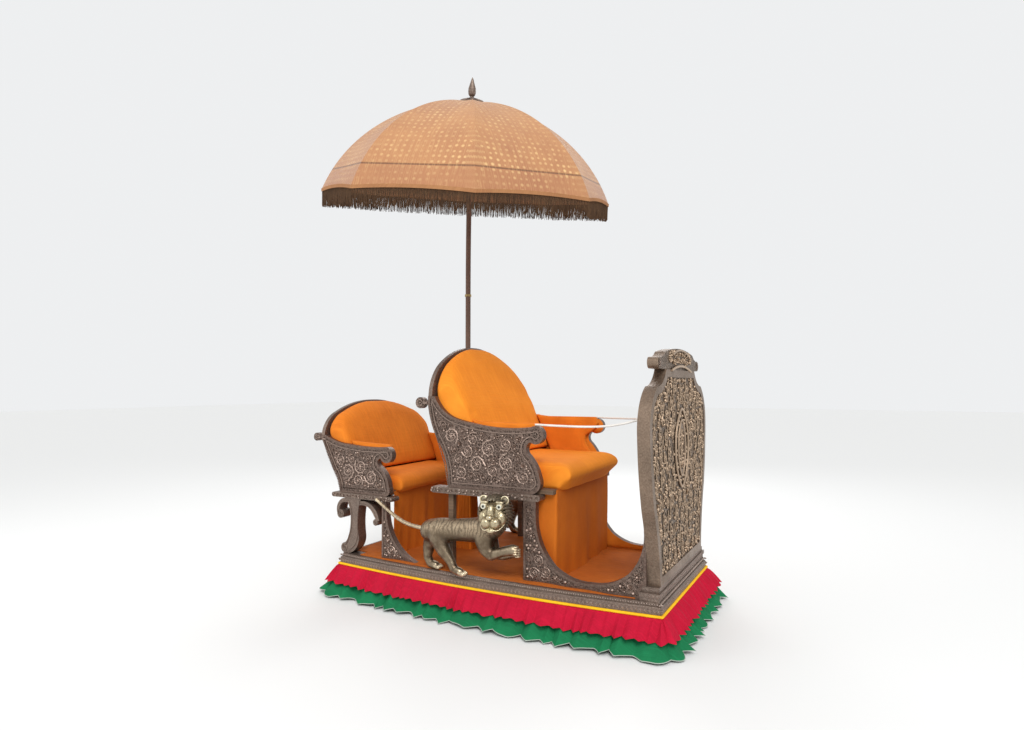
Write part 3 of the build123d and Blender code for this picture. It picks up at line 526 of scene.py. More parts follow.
# each finish: its dark, middle and bright, or its light and dark
SILVER = silver("chased side silver", (0.026, 0.015, 0.010), (0.118, 0.072, 0.054), (0.54, 0.41, 0.34),
                chased=0.85, scale=62.0, edges=False, ground=(1, SIDE_FACE))
BOARD_SILVER = silver("chased board silver", (0.016, 0.010, 0.006), (0.20, 0.137, 0.097), (0.56, 0.43, 0.32),
                      chased=0.95, scale=85.0, edges=False, ground=(0, FRONT_FACE))
RAISED = silver("raised silver", (0.028, 0.016, 0.011), (0.145, 0.093, 0.072), (0.60, 0.48, 0.41),
                rub=(0.56, 0.74))
SIDE_RAISED = silver("raised side scrolls", (0.024, 0.014, 0.009), (0.110, 0.067, 0.050), (0.54, 0.41, 0.34),
                     rub=(0.55, 0.72), relief=(1, SIDE_FACE - 0.0002, SIDE_FACE + 0.0090))
BOARD_RAISED = silver("raised board leaves", (0.016, 0.010, 0.006), (0.115, 0.070, 0.043), (0.64, 0.48, 0.34),
                      rub=(0.57, 0.74), relief=(0, FRONT_FACE + 0.0010, FRONT_FACE + 0.0140))
PLAIN = silver("plain rubbed silver", (0.046, 0.032, 0.024), (0.165, 0.113, 0.088), (0.60, 0.49, 0.41),
               edges=False)
CAT = silver("silver gilt cat", (0.040, 0.027, 0.017), (0.31, 0.225, 0.145), (0.82, 0.68, 0.47),
             stripes_and_shaded_underside=True, rub=(0.51, 0.60), polish=(0.24, 0.40))
CAT_FACE_GILT = silver("rubbed gilt face", (0.040, 0.028, 0.014), (0.36, 0.285, 0.165), (0.90, 0.80, 0.56),
                       rub=(0.505, 0.56), polish=(0.20, 0.34))
MANE = silver("dark mane", (0.020, 0.014, 0.010), (0.085, 0.066, 0.048), (0.42, 0.36, 0.26), rub=(0.53, 0.62))
BRASS = silver("darkened brass", (0.06, 0.035, 0.012), (0.40, 0.27, 0.10), (0.85, 0.66, 0.34), edges=False)
EYE_WHITE = new_material("white shell eye", Base_Color=(0.70, 0.68, 0.56, 1), Roughness=0.3)[0]
EYE_BLACK = new_material("black glass pupil", Base_Color=(0.01, 0.01, 0.01, 1), Roughness=0.1)[0]
ORANGE = cloth("orange cotton", (0.76, 0.215, 0.020), (0.48, 0.105, 0.008))
# orange cotton painted lighter as lit, for the front seat's cushion and back pad
PAINTED_LIT_ORANGE = cloth("orange cotton painted lit", (0.88, 0.285, 0.026), (0.62, 0.150, 0.011), blotch=3.0)
# orange cotton painted darker as shade, for the hanging valances and the post cover
PAINTED_SHADE_ORANGE = cloth("orange cotton painted darker as shaded", (0.60, 0.155, 0.014), (0.32, 0.066, 0.005), blotch=3.0,
                    slubs=0.22)
FLOOR_ORANGE = cloth("worn orange floor cloth", (0.50, 0.130, 0.018), (0.27, 0.060, 0.008), blotch=9.0)
CRIMSON = cloth("crimson cotton", (0.50, 0.007, 0.034), (0.30, 0.004, 0.018), blotch=8.0, sheen=0.05)
GREEN = cloth("green cotton", (0.012, 0.19, 0.072), (0.006, 0.085, 0.034), blotch=6.0, sheen=0.05,
              hem=(0.982, (0.40, 0.46, 0.40)))
YELLOW = cloth("yellow cotton", (0.92, 0.52, 0.02), (0.75, 0.36, 0.01), blotch=10.0, sheen=0.1)
BROCADE = brocade("faded brocade", (0.50, 0.235, 0.095), (0.33, 0.125, 0.060), (0.76, 0.50, 0.22))
THREAD = wood("fringe thread", (0.165, 0.088, 0.042), (0.030, 0.014, 0.007), (95.0, 95.0, 1.5), rough=0.9)
HEADING = cloth("hem tape", (0.42, 0.205, 0.090), (0.28, 0.110, 0.050), threads=1200.0)
CORD_COTTON = cloth("white braided cotton", (0.80, 0.77, 0.72), (0.58, 0.54, 0.50), threads=2200.0)
POLE_WOOD = wood("pinkish pole wood", (0.23, 0.135, 0.098), (0.10, 0.055, 0.038), (30.0, 30.0, 1.5))
RIB_WOOD = wood("split cane", (0.36, 0.23, 0.12), (0.16, 0.09, 0.045), (20.0, 20.0, 3.0))
TIMBER = wood("rough base timber", (0.24, 0.155, 0.095), (0.09, 0.055, 0.035), (1.5, 30.0, 30.0), rough=0.75)

# each node takes its slot's finish, but for the chased front board and the silver that is left plain
LOOKS = {"silver": SILVER, "cat_silver": CAT, "orange_cloth": ORANGE, "base_timber": TIMBER,
         "crimson_cloth": CRIMSON, "green_cloth": GREEN, "yellow_piping": YELLOW, "canopy_cloth": BROCADE,
         "fringe_thread": THREAD, "pole_wood": POLE_WOOD, "old_brass": BRASS, "rib_wood": RIB_WOOD,
         "cord_white": CORD_COTTON}
PLAIN_WORDS = ("seat_back", "beam", "rear_leg", "crown_cap", "finial", "plinth")
for part in frame["record"]["subparts"]:
    node = NODES[part["node"]]
    look = BOARD_SILVER if part["node"] == "front_panel" else LOOKS[part["material_slot"]]
    if any(word in part["node"] for word in PLAIN_WORDS):
        look = PLAIN
    node.data.materials.clear()
    node.data.materials.append(look)
    smooth(node, 35)

# ================================================================ camera, floor and light
CAMERA_AT, CAMERA_TILT, CAMERA_TURN = (1.5977, -3.0666, 1.0944), 91.8, 28.3
bpy.ops.object.camera_add(location=CAMERA_AT, rotation=(radians(CAMERA_TILT), 0, radians(CAMERA_TURN)))
camera = bpy.context.object
camera.data.sensor_width = 36
camera.data.lens = 22.908
bpy.context.scene.camera = camera
bpy.context.scene.view_settings.view_transform = "Standard"

bpy.ops.mesh.primitive_plane_add(size=60, location=(0, 0, 0))
floor = named("studio_floor")
floor.data.materials.append(new_material("pale studio paint", Base_Color=(0.84, 0.84, 0.83, 1), Roughness=0.9,
                                         Specular_IOR_Level=0.1)[0])
floor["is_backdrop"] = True

# the world lights a little less than it shows
world = bpy.data.worlds.new("studio")
bpy.context.scene.world = world
world.use_nodes = True
tree = world.node_tree
back = next(n for n in tree.nodes if n.type == "BACKGROUND")
path = add_node(tree, "ShaderNodeLightPath")
seen = maths(tree, "MAXIMUM", path.outputs["Is Camera Ray"], path.outputs["Is Glossy Ray"])
seen = maths(tree, "MAXIMUM", seen, path.outputs["Is Transmission Ray"])
back.inputs["Color"].default_value = (0.93, 0.94, 0.95, 1)
strength = add_node(tree, "ShaderNodeMapRange", ((0, seen), (3, 0.78), (4, 0.92)))
tree.links.new(strength.outputs[0], back.inputs["Strength"])

bpy.ops.object.light_add(type="SUN", rotation=(radians(48), 0, radians(30)))
sun = bpy.context.object
sun.name, sun.data.energy, sun.data.angle = "studio window", 1.25, radians(24)
for name, place, aim, size, power in (
        ("key", (2.6, -3.4, 4.2), (0, 0, 1.0), 2.2, 60),
        ("fill", (-3.2, -3.0, 2.6), (0, 0, 1.0), 3.0, 30),
        ("rear", (-1.5, 3.6, 3.6), (0, 0, 1.2), 2.6, 60)):
    bpy.ops.object.light_add(type="AREA", location=place)
    lamp = bpy.context.object
    lamp.name = name
    lamp.data.energy = power
    lamp.data.size = size
    lamp.rotation_euler = (Vector(aim) - Vector(place)).to_track_quat("-Z", "Y").to_euler()

# ================================================================ cords, as the parts they replace
CORD_ROUTE = ((0.276, 0.386, 0.7553), (0.330, 0.389, 0.7545), (0.400, 0.392, 0.7534), (0.470, 0.395, 0.7529),
              (0.540, 0.398, 0.7537), (0.610, 0.401, 0.7576), (0.675, 0.404, 0.766), (0.735, 0.407, 0.781),
              (0.785, 0.409, 0.795))          # x, distance from the centre plane, h
CORD_WIDTH = 0.010
for side, hand in HANDS:
    route = [(x, side * y, BASE_Z + h) for x, y, h in CORD_ROUTE]
    cord = bent_bar(route, CORD_WIDTH / 2, 3)
    cord.name = cord.data.name = f"safety_cord_{hand}"
    dress(cord, "howdah", CORD_COTTON)
    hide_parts(f"cord_{hand}")
    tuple(route[0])


# ================================================================ stuffed pads
PRESSURE = 4.0
PUFF_FRAMES = 20


def stuffed(node, name, cap, voxel, shrink, rounds):
    """A pad blown up by the cloth simulation from a smaller copy of its solid, each point held within cap."""
    pad = node_copy(node, name)
    modifier(pad, "REMESH", mode="VOXEL", voxel_size=voxel, use_smooth_shade=True)
    modifier(pad, "DISPLACE", strength=-shrink, mid_level=0.0)
    start = [v.co.copy() for v in pad.data.vertices]
    only(pad)
    m = pad.modifiers.new("Cloth", "CLOTH")
    m.settings.use_pressure = True
    m.settings.uniform_pressure_force = PRESSURE
    m.settings.effector_weights.gravity = 0
    m.settings.quality = 4
    m.settings.tension_stiffness = m.settings.compression_stiffness = 8
    m.point_cache.frame_start, m.point_cache.frame_end = 1, PUFF_FRAMES
    for f in range(PUFF_FRAMES):
        bpy.context.scene.frame_set(1 + f)
    bpy.ops.object.modifier_apply(modifier=m.name)
    for v, at in zip(pad.data.vertices, start):
        moved = v.co - at
        if moved.length > cap:
            v.co = at + moved.normalized() * cap
    bpy.context.scene.frame_set(1)
    modifier(pad, "SMOOTH", factor=0.7, iterations=rounds)
    return pad


def filled_out(pad, node, below, above):
    """Stretches a pad to fill its solid's box, moved by so much at the low and the high side of each axis."""
    low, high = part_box(node)
    for axis in range(3):
        want = (low[axis] + below[axis], high[axis] + above[axis])
        have = [f(v.co[axis] for v in pad.data.vertices) for f in (min, max)]
        for v in pad.data.vertices:
            v.co[axis] = want[0] + (v.co[axis] - have[0]) * (want[1] - want[0]) / (have[1] - have[0])


def press(pad, at, reach, depth, direction):
    """A soft dent or fold pressed into a pad round a line of points."""
    for v in pad.data.vertices:
        near = min((v.co - Vector(p)).length for p in at)
        if near < reach:
            v.co += Vector(direction) * depth * (1 - near / reach) ** 2


PADS = (  # node, name, how far a point may move, voxel, shrink, rounds of smoothing
    ("front_cushion", "front_seat_cushion", 0.016, 0.0075, 0.010, 40),
    ("rear_cushion", "rear_seat_cushion", 0.014, 0.0075, 0.009, 40),
    ("front_back_pad", "front_back_upholstery", 0.010, 0.009, 0.006, 40),
    ("rear_back_pad", "rear_back_upholstery", 0.010, 0.009, 0.006, 40),
    *((f"{seat}_arm_pad_{hand}", f"{seat}_arm_upholstery_{hand}", 0.007, 0.006, 0.005, 8)
      for seat in ("front", "rear") for side, hand in HANDS),
)
# the front seat's cushion and back pad take the orange painted lighter as lit; the others take plain orange
PADS_PAINTED_LIT = ("front_back_pad", "front_cushion")
for node, name, cap, voxel, shrink, rounds in PADS:
    pad = stuffed(node, name, cap, voxel, shrink, rounds)
    if "back" in name:
        filled_out(pad, node, (0, -0.008, 0), (0, 0.008, 0.008))
    elif "cushion" in name:
        filled_out(pad, node, (0, 0, -0.015), (0.004, 0, 0.005))
    if node == "front_back_pad":
        for s in (1, -1):
            fold = [(-0.10 - 0.03 * k, s * (0.33 - 0.012 * k), BASE_Z + 0.80 + 0.014 * k) for k in range(9)]
            press(pad, fold, 0.035, 0.010, (-0.7, -s * 0.5, 0))
    smooth(pad, 80)
    dress(pad, "howdah", PAINTED_LIT_ORANGE if node in PADS_PAINTED_LIT else ORANGE)
    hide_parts(node)


# ================================================================ sheets of cloth
def sheet_on(name, columns, rows, place, closed=False):
    """A grid laid by a rule: place(s, t) gives the point for s along and t across, both from 0 to 1."""
    only()
    bpy.ops.mesh.primitive_grid_add(x_subdivisions=columns, y_subdivisions=rows, size=2)
    piece = named(name)
    for v in piece.data.vertices:
        v.co = place((v.co.x + 1) / 2, (v.co.y + 1) / 2)
    if closed:
        weld(piece)
    return piece


def finished_sheet(piece, look, slot, thick=0.0, angle=60, node=None, body="howdah", **told):
    """Gives a sheet its thickness, smooth shading and finish, and hides the part it replaces."""
    if thick:
        modifier(piece, "SOLIDIFY", thickness=thick, offset=-1)
    if angle:
        smooth(piece, angle)
    dress(piece, body, look)
    if node:
        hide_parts(node)


def facing(piece, test):
    """Turns the whole sheet over if most of a sample of its faces face the wrong way."""
    if sum(1 if test(p.center, p.normal) else -1 for p in list(piece.data.polygons)[::7]) < 0:
        piece.data.flip_normals()
    return piece


HALF_L, HALF_W = 0.865, 0.425           # half the base's length, and half its width at the corners
BOW = 0.045                             # how far its long sides swell
SIDE_STOPS, END_STOPS, CORNER_STOPS = 60, 24, 9


def base_walk():
    """The base's plan as points with the way out from each, its corners turned in small steps."""
    walk = []
    for n, next_way in enumerate((0, pi / 2, pi, -pi / 2)):
        long_side = n % 2 == 0
        stops = SIDE_STOPS if long_side else END_STOPS
        for k in range(stops + 1):
            q = 2 * k / stops - 1
            if long_side:
                x, y = HALF_L * q, -HALF_W - BOW * (1 - q * q)
                nx, ny = -2 * BOW * q / HALF_L, -1.0
            else:
                x, y, nx, ny = HALF_L, HALF_W * q, 1.0, 0.0
            if n >= 2:
                x, y, nx, ny = -x, -y, -nx, -ny
            walk.append((x, y, nx / hypot(nx, ny), ny / hypot(nx, ny)))
        x, y, nx, ny = walk[-1]
        start = atan2(ny, nx)
        turn = (next_way - start + pi) % (2 * pi) - pi
        for k in range(1, CORNER_STOPS):
            a = start + turn * k / CORNER_STOPS
            walk.append((x, y, cos(a), sin(a)))
    return walk


WALK = base_walk()
GROWN = 0.07                            # lengths along the walk are taken this far out
STATIONS = [0.0]
for a, b in zip(WALK, WALK[1:] + WALK[:1]):
    step_x = b[0] + GROWN * b[2] - a[0] - GROWN * a[2]
    step_y = b[1] + GROWN * b[3] - a[1] - GROWN * a[3]
    STATIONS.append(STATIONS[-1] + hypot(step_x, step_y))


def on_base(s, grow, h):
    """Point on the base's plan grown outwards, and the ways out and along there."""
    want = s % 1.0 * STATIONS[-1] if s < 1 else 0.0
    low, high = 0, len(STATIONS) - 1
    while high - low > 1:
        middle = (low + high) // 2
        low, high = (middle, high) if STATIONS[middle] <= want else (low, middle)
    a, b = WALK[low], WALK[(low + 1) % len(WALK)]
    part = (want - STATIONS[low]) / max(1e-9, STATIONS[high] - STATIONS[low])
    x, y, nx, ny = (p + (q - p) * part for p, q in zip(a, b))
    size = hypot(nx, ny)
    out = Vector((nx / size, ny / size, 0))
    return Vector((x, y, BASE_Z + h)) + out * grow, out, Vector((-out.y, out.x, 0))


def gather(s, seed, pitch):
    """Uneven rounded folds of gathered cloth: out and along, each between -1 and 1."""
    wander = 2.1 * sin(2 * pi * 7 * s + seed) + 1.1 * sin(2 * pi * 19 * s + 2.1 * seed)
    wander += 0.6 * sin(2 * pi * 43 * s + seed)
    a = 2 * pi * pitch * s + wander
    return sin(a) * (0.72 + 0.28 * sin(2 * pi * 29 * s + seed)), cos(a)


SEAM = 0.012                  # height of the stitched head under the plinth's edge


def skirt(name, node, look, slot, top, hem, drop, folds, deep, seed, belly, flat):
    """A gathered ruffle round the base: tight at its stitched head, deeper and wider folds at its hem."""
    def place(s, t):
        fold, lean = gather(s, seed, folds)
        fine = gather(s, seed + 3, 2 * folds)[0]
        wide = 0.5 * sin(2 * pi * 11 * s + seed) + 0.5 * sin(2 * pi * 31 * s + 2 * seed)
        grow = top + (hem - top) * t ** belly
        point, out, along = on_base(s, grow - 0.006, -(SEAM + (drop - SEAM) * t))
        point += out * (deep * t ** 0.45 * fold + 0.0022 * (1 - t) * fine + 0.008 * t * wide)
        point += along * (0.45 * deep * t * lean * fold)
        point.z += (0.007 * wide - 0.003 * fold) * t ** 2
        point.z = max(point.z, 0.0025)
        return point
    piece = sheet_on(name, 2200, 9, place, closed=True)
    facing(piece, lambda c, n: n.x * c.x / HALF_L ** 2 + n.y * c.y / HALF_W ** 2 > 0)
    finished_sheet(piece, look, slot, 0.0012, 70, node, flat=flat, held="gathered", rests_on=["base_plinth"])


# (cut height, cut length) of each ruffle before it is gathered
RED_FLAT = (0.098, 6.15)
GREEN_FLAT = (0.165, 6.35)
skirt("crimson_ruffle", "red_ruffle", CRIMSON, "crimson_cloth", top=0.009, hem=0.074, drop=0.088,
      folds=112, deep=0.0125, seed=1.0, belly=0.8, flat=RED_FLAT)
skirt("emerald_ruffle", "green_ruffle", GREEN, "green_cloth", top=-0.012, hem=0.098, drop=0.146,
      folds=60, deep=0.0230, seed=2.2, belly=1.5, flat=GREEN_FLAT)


def roll(s, t):
    """Round piping bedded under the plinth's edge."""
    a = 2 * pi * (t % 1.0)
    point, out, along = on_base(s, 0.0005, -0.0065)
    return point + out * 0.0085 * cos(a) + Vector((0, 0, 0.0060 * sin(a)))


piping = sheet_on("yellow_rolled_piping", 480, 10, roll, closed=True)
in_edit(piping, lambda: bpy.ops.mesh.normals_make_consistent(inside=False))
smooth(piping, 80)
dress(piping, "howdah", YELLOW)
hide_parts("yellow_piping")


VALANCE_FOOT = 0.0495         # just clear of the floor cloth
VALANCE_HALF = 0.338          # half its width between the corners
RETURN_TOP = 0.438            # the returns start under the front beams


def hanging(name, node, front_x, reach, top, flat, folds, seed):
    """A valance under a seat's front edge, its returns drawn back along the sides, falling in soft folds."""
    half = VALANCE_HALF
    run = 2 * half + 2 * reach

    def place(s, t):
        d, bend = s * run, 0.004 + 0.026 * t
        side = -1 if d < run / 2 else 1
        past = (reach - d) if side < 0 else d - (run - reach)       # beyond the corner, along the return
        turn = min(1.0, max(0.0, 0.5 + 0.5 * past / bend)) * pi / 2
        out = Vector((cos(turn), side * sin(turn), 0))
        x = front_x - bend + bend * cos(turn) - max(0.0, past - bend)
        y = side * (half - bend + bend * sin(turn)) if past > -bend else -half + d - reach
        fold = sin(2 * pi * folds * s + 2.2 * sin(2 * pi * 1.3 * s + seed))
        fold += 0.30 * sin(2 * pi * folds * 2.3 * s + seed + 2 * t)
        head = top if reach < d < run - reach else min(top, RETURN_TOP)
        z = BASE_Z + head + (VALANCE_FOOT - head) * t
        swing = 0.004 * sin(3 * t + 9 * s + seed)
        return Vector((x, y, z)) + out * ((0.0004 + 0.0072 * t) * fold + swing * t)
    piece = sheet_on(name, 150, 40, place)
    facing(piece, lambda c, n: n.x > 0.2 or n.y * c.y > 0.2)
    # the valance takes the orange painted darker as shade
    finished_sheet(piece, PAINTED_SHADE_ORANGE, "orange_cloth", 0.002, node=node, flat=flat, held="hung",
                   rests_on=[node.replace("valance", "seat_board")])


# (cut height, cut width) of each valance
VALANCE_FLAT = (0.389, 0.975)
REAR_VALANCE_FLAT = (0.331, 0.684)
hanging("front_seat_valance", "front_valance", front_x=0.3605, reach=0.140, top=0.4585, flat=VALANCE_FLAT,
        folds=3.4, seed=0.6)
hanging("rear_seat_valance", "rear_valance", front_x=-0.5705, reach=0.001, top=0.380, flat=REAR_VALANCE_FLAT,
        folds=4.2, seed=2.0)

POST_FOOT, POST_HEAD = (0.056, 0.051), 0.033        # half the post's size in X and Y below, and both above


def sleeve(s, t):
    """Cloth drawn round the tapered post of the parasol and falling in small pleats."""
    a = 2 * pi * (s % 1.0)
    half_x, half_y = (foot + (POST_HEAD - foot) * (1 - t) for foot in POST_FOOT)
    square = 1 / max(abs(cos(a)) / half_x, abs(sin(a)) / half_y)
    rounded = square * (1 - 0.10 * abs(sin(2 * a)) ** 6)
    r = rounded + 0.0045 + 0.0022 * sin(17 * a + 2 * sin(3 * a)) * (0.3 + t)
    return Vector((POLE_X + r * cos(a), r * sin(a), BASE_Z + RETURN_TOP - (RETURN_TOP - 0.049) * t))


cover = sheet_on("parasol_post_cover", 120, 14, sleeve, closed=True)
facing(cover, lambda c, n: n.x * (c.x - POLE_X) + n.y * c.y > 0)
# the post cover takes the orange painted darker as shade
finished_sheet(cover, PAINTED_SHADE_ORANGE, "orange_cloth", 0.0015, flat=(0.39, 0.36), held="gathered",
               rests_on=["pole_post"])

# the floor cloth is cut into small squares, so that it can lie a little unevenly
FLOOR_HALF = (0.84, 0.44)
FLOOR_STEP = 0.03
FLOOR_UPPER = 0.046           # height that parts the cloth's upper face from its lower one
floor_sheet = node_copy("floor_cloth", "floor_covering")
for axis, half in enumerate(FLOOR_HALF):
    way = (1 - axis, axis, 0)
    count = int(half / FLOOR_STEP)
    in_edit(floor_sheet, *(
        lambda k=k, way=way: bpy.ops.mesh.bisect(plane_co=[k * FLOOR_STEP * c for c in way], plane_no=way)
        for k in range(-count, count + 1)))
for v in floor_sheet.data.vertices:
    if v.co.z > BASE_Z + FLOOR_UPPER:
        x, y = v.co.x, v.co.y
        inside = min(1.0, max(0.0, FLOOR_HALF[0] - abs(x)) / 0.05)
        v.co.z += inside * (0.0012 + 0.0012 * sin(31 * x + 8 * sin(9 * y)) + 0.0010 * sin(47 * y + 6 * x))
finished_sheet(floor_sheet, FLOOR_ORANGE, "orange_cloth", angle=50, node="floor_cloth",
               flat=(0.88, 1.64), area=1.3, held="laid", rests_on=["base_plinth"])

# ================================================================ parasol
BOW_FROM, HUB_H = 1.440, 2.468          # the pole's bow starts at the ferrule and ends at the hub
LEAN, TOWARDS = radians(14), radians(-50)
CORNER = radians(-55.5)                 # the way that the canopy's first rib points
CANOPY_R, RISE, CAP, SIDES = 0.800, 0.500, 0.003, 8
bow = (HUB_H - BOW_FROM) / sin(LEAN)
swing = bow * (1 - cos(LEAN))
hub = Vector((POLE_X + swing * cos(TOWARDS), swing * sin(TOWARDS), BASE_Z + HUB_H))
axis = Vector((sin(LEAN) * cos(TOWARDS), sin(LEAN) * sin(TOWARDS), cos(LEAN)))
corner = Vector((cos(CORNER), sin(CORNER), 0))
corner = (corner - axis * corner.dot(axis)).normalized()
HEAD = Matrix((corner, axis.cross(corner), axis)).transposed().to_4x4()
HEAD.translation = hub + axis * CAP                 # crown of the canopy, z up the pole
HALF_GORE = pi / SIDES
APOTHEM = CANOPY_R * cos(HALF_GORE)
ARCH_R = (APOTHEM ** 2 + RISE ** 2) / (2 * RISE)
ARCH_END = atan2(APOTHEM, ARCH_R - RISE)
SIDE_LONG = 2 * CANOPY_R * sin(HALF_GORE)
HEM_LIFT = 0.012


def in_gore(s):
    """The gore that s falls in, and the place across it from -1 to 1."""
    k = min(int(s * SIDES), SIDES - 1)
    return k, 2 * (s * SIDES - k) - 1


def on_gore(k, ahead, side, z):
    """The point so far ahead of the pole along the middle of gore k, to its side, and up."""
    mid = (k + 0.5) * 2 * HALF_GORE
    return HEAD @ Vector((ahead * cos(mid) - side * sin(mid), ahead * sin(mid) + side * cos(mid), z))


def on_canopy(s, t):
    """Eight gores, each drawn tight between two ribs, a little hollow across and lifted at its hem."""
    k, q = in_gore(s)
    a = 0.012 + (ARCH_END - 0.012) * t
    r = ARCH_R * sin(a)
    hollow = (1 - q * q) * sin(pi * min(1, t * 1.05)) * 0.010
    hem = (1 - q * q) * HEM_LIFT * max(0, t - 0.85) / 0.15
    z = -ARCH_R * (1 - cos(a)) - hollow * cos(a) + hem
    z += 0.0012 * sin(40 * q + 3 * k) * t
    return on_gore(k, r - hollow * sin(a), r * sin(HALF_GORE) / cos(HALF_GORE) * q, z)


canopy = sheet_on("brocade_canopy", 96, 30, on_canopy)
uv = canopy.data.uv_layers.active.data
for loop, at in zip(canopy.data.loops, uv):
    # the cloth's own place in metres: across its gore from the seam, and down from the crown
    p = HEAD.inverted() @ canopy.data.vertices[loop.vertex_index].co
    turn = atan2(p.y, p.x) % (2 * HALF_GORE) - HALF_GORE
    down = ARCH_R * atan2(hypot(p.x, p.y) * cos(turn), ARCH_R + p.z)
    at.uv = (hypot(p.x, p.y) * sin(turn), down)
weld(canopy)
facing(canopy, lambda c, n: n.dot(axis) > 0)
finished_sheet(canopy, BROCADE, "canopy_cloth", 0.002, 12, "canopy", "parasol", flat=(1.9, 1.9), area=2.6,
               held="stretched", rests_on=["canopy_ribs"])

# one side's fringe: twisted threads of uneven length hung from a narrow woven heading
THREADS = 230
rng = random.Random(7)
only()
bpy.ops.mesh.primitive_cylinder_add(vertices=4, radius=0.0013, depth=1, location=(0, 0, -0.5),
                                    end_fill_type="NOTHING")
thread = settle(named("thread"))
in_edit(thread, *(lambda z=-k / 4: bpy.ops.mesh.bisect(plane_co=(0, 0, z), plane_no=(0, 0, 1))
                  for k in range(1, 4)))
strands = []
for k in range(THREADS):
    y = (k + 0.5) / THREADS * SIDE_LONG - SIDE_LONG / 2
    long = rng.uniform(0.080, 0.098)
    twin = copy_of(thread, Matrix.Diagonal((1, 1, long, 1)))
    lean_y, lean_x = rng.uniform(-0.006, 0.006), rng.uniform(-0.006, 0.004)
    for v in twin.data.vertices:
        t = -v.co.z / long
        v.co.x += lean_x * t * t + APOTHEM - 0.003 + rng.uniform(-0.0003, 0.0003)
        v.co.y += y + lean_y * t * t
    strands.append(twin)
strands = joined("fringe_side", strands)
under_hem = HEAD @ Matrix.Translation((0, 0, -RISE + 0.002))
fringe = joined("thread_fringe", [
    copy_of(strands, under_hem @ Matrix.Rotation((2 * k + 1) * HALF_GORE, 4, "Z")) for k in range(SIDES)])
drop(thread, strands)
smooth(fringe, 60)
dress(fringe, "parasol", THREAD)
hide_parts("fringe")


def heading(s, t):
    """The woven tape that the threads hang from, following the lifted hem."""
    k, q = in_gore(s)
    return on_gore(k, APOTHEM, SIDE_LONG / 2 * q, -RISE + (1 - q * q) * HEM_LIFT + 0.004 - 0.016 * t)


tape = sheet_on("fringe_heading", 64, 3, heading, closed=True)
facing(tape, lambda c, n: n.dot(c - hub) > 0)
modifier(tape, "SOLIDIFY", thickness=0.004, offset=0)
dress(tape, "parasol", HEADING)


# ================================================================ raised work on the silver
def lump(at, size, turn=0.0, tilt=0.0, fine=1):
    """An egg-shaped bit of relief."""
    bpy.ops.mesh.primitive_ico_sphere_add(subdivisions=fine, radius=1, location=at, rotation=(0, tilt, turn),
                                          scale=size)
    return settle(bpy.context.object)


def build_scroll():
    """A stem curled in on a small rosette, with lobes of leaf along its outside, one unit in radius."""
    stem = []
    for k in range(12):
        a, r = 0.82 * k, 0.92 - 0.056 * k
        stem.append((r * cos(a), r * sin(a), 0.10))
    swell = [1.25 - 0.06 * k for k in range(12)]
    parts = [as_mesh(bent_bar(stem, 0.075, 0, steps=2, swell=swell, capped=False))]
    for k in range(6):
        a = 0.5 + 0.72 * k
        r = 0.80 - 0.03 * k
        parts.append(lump((r * cos(a), r * sin(a), 0.10), (0.22, 0.075, 0.13), a + 0.75))
        r, b = r - 0.26, a + 0.3
        parts.append(lump((r * cos(b), r * sin(b), 0.08), (0.14, 0.05, 0.10), a - 0.6))
    parts.append(lump((0, 0, 0.08), (0.15, 0.15, 0.20)))
    for k in range(5):
        a = 1.257 * k
        parts.append(lump((0.20 * cos(a), 0.20 * sin(a), 0.06), (0.12, 0.08, 0.11), a))
    return joined("scroll", parts)


def build_rosette():
    """Eight petals round a button."""
    parts = [lump((0, 0, 0.10), (0.30, 0.30, 0.30), fine=2)]
    for k in range(8):
        a = pi * k / 4
        parts.append(lump((0.62 * cos(a), 0.62 * sin(a), 0.06), (0.32, 0.15, 0.22), a))
    return joined("rosette", parts)


def build_palmette():
    """Five leaves spread from a knob."""
    parts = [lump((0.46 * cos(a) - 0.35, 0.46 * sin(a), 0.08), (0.50, 0.11, 0.24), a)
             for a in (-1.1, -0.55, 0, 0.55, 1.1)]
    parts.append(lump((-0.55, 0, 0.08), (0.28, 0.22, 0.22)))
    return joined("palmette", parts)


only()
MOTIFS = {"scroll": build_scroll(), "rosette": build_rosette(), "palmette": build_palmette(),
          "bead": joined("bead", [lump((0, 0, 0.3), (1, 1, 0.8))])}
UP = Vector((0, 0, 1))


def laid(kind, at, out, radius, turn, tall=1.0, hand=1, drawn=1.0):
    """One motif copied on to an upright surface that faces out; drawn is how far it is stretched upwards."""
    out = Vector(out).normalized()
    place = Matrix((UP.cross(out), UP, out)).transposed().to_4x4()
    place.translation = at
    stretch = Matrix.Diagonal((1 / drawn, drawn, 1, 1))
    size = Matrix.Diagonal((radius * hand, radius, radius * tall, 1))
    return copy_of(MOTIFS[kind], place @ stretch @ Matrix.Rotation(turn, 4, "Z") @ size)


SCROLL_FROM, FLOWER_FROM, LEAF_FROM = 0.021, 0.011, 0.007       # radius from which each kind is used


def kind_for(radius, count):
    """The motif for a radius; flowers and leaves take turns."""
    if radius > SCROLL_FROM:
        return "scroll"
    if radius > FLOWER_FROM:
        return ("rosette", "palmette")[count % 2]
    return "palmette" if radius > LEAF_FROM else "bead"


TRIES = 2600                  # places tried for each radius
CLOSE = 0.93                  # how near two motifs may come, as a share of both their radii
LEVEL_GAP = 0.0006            # how far the ground under a motif may rise or fall
PLANE_GAP = 0.001             # how far it may lie off the board's own plane


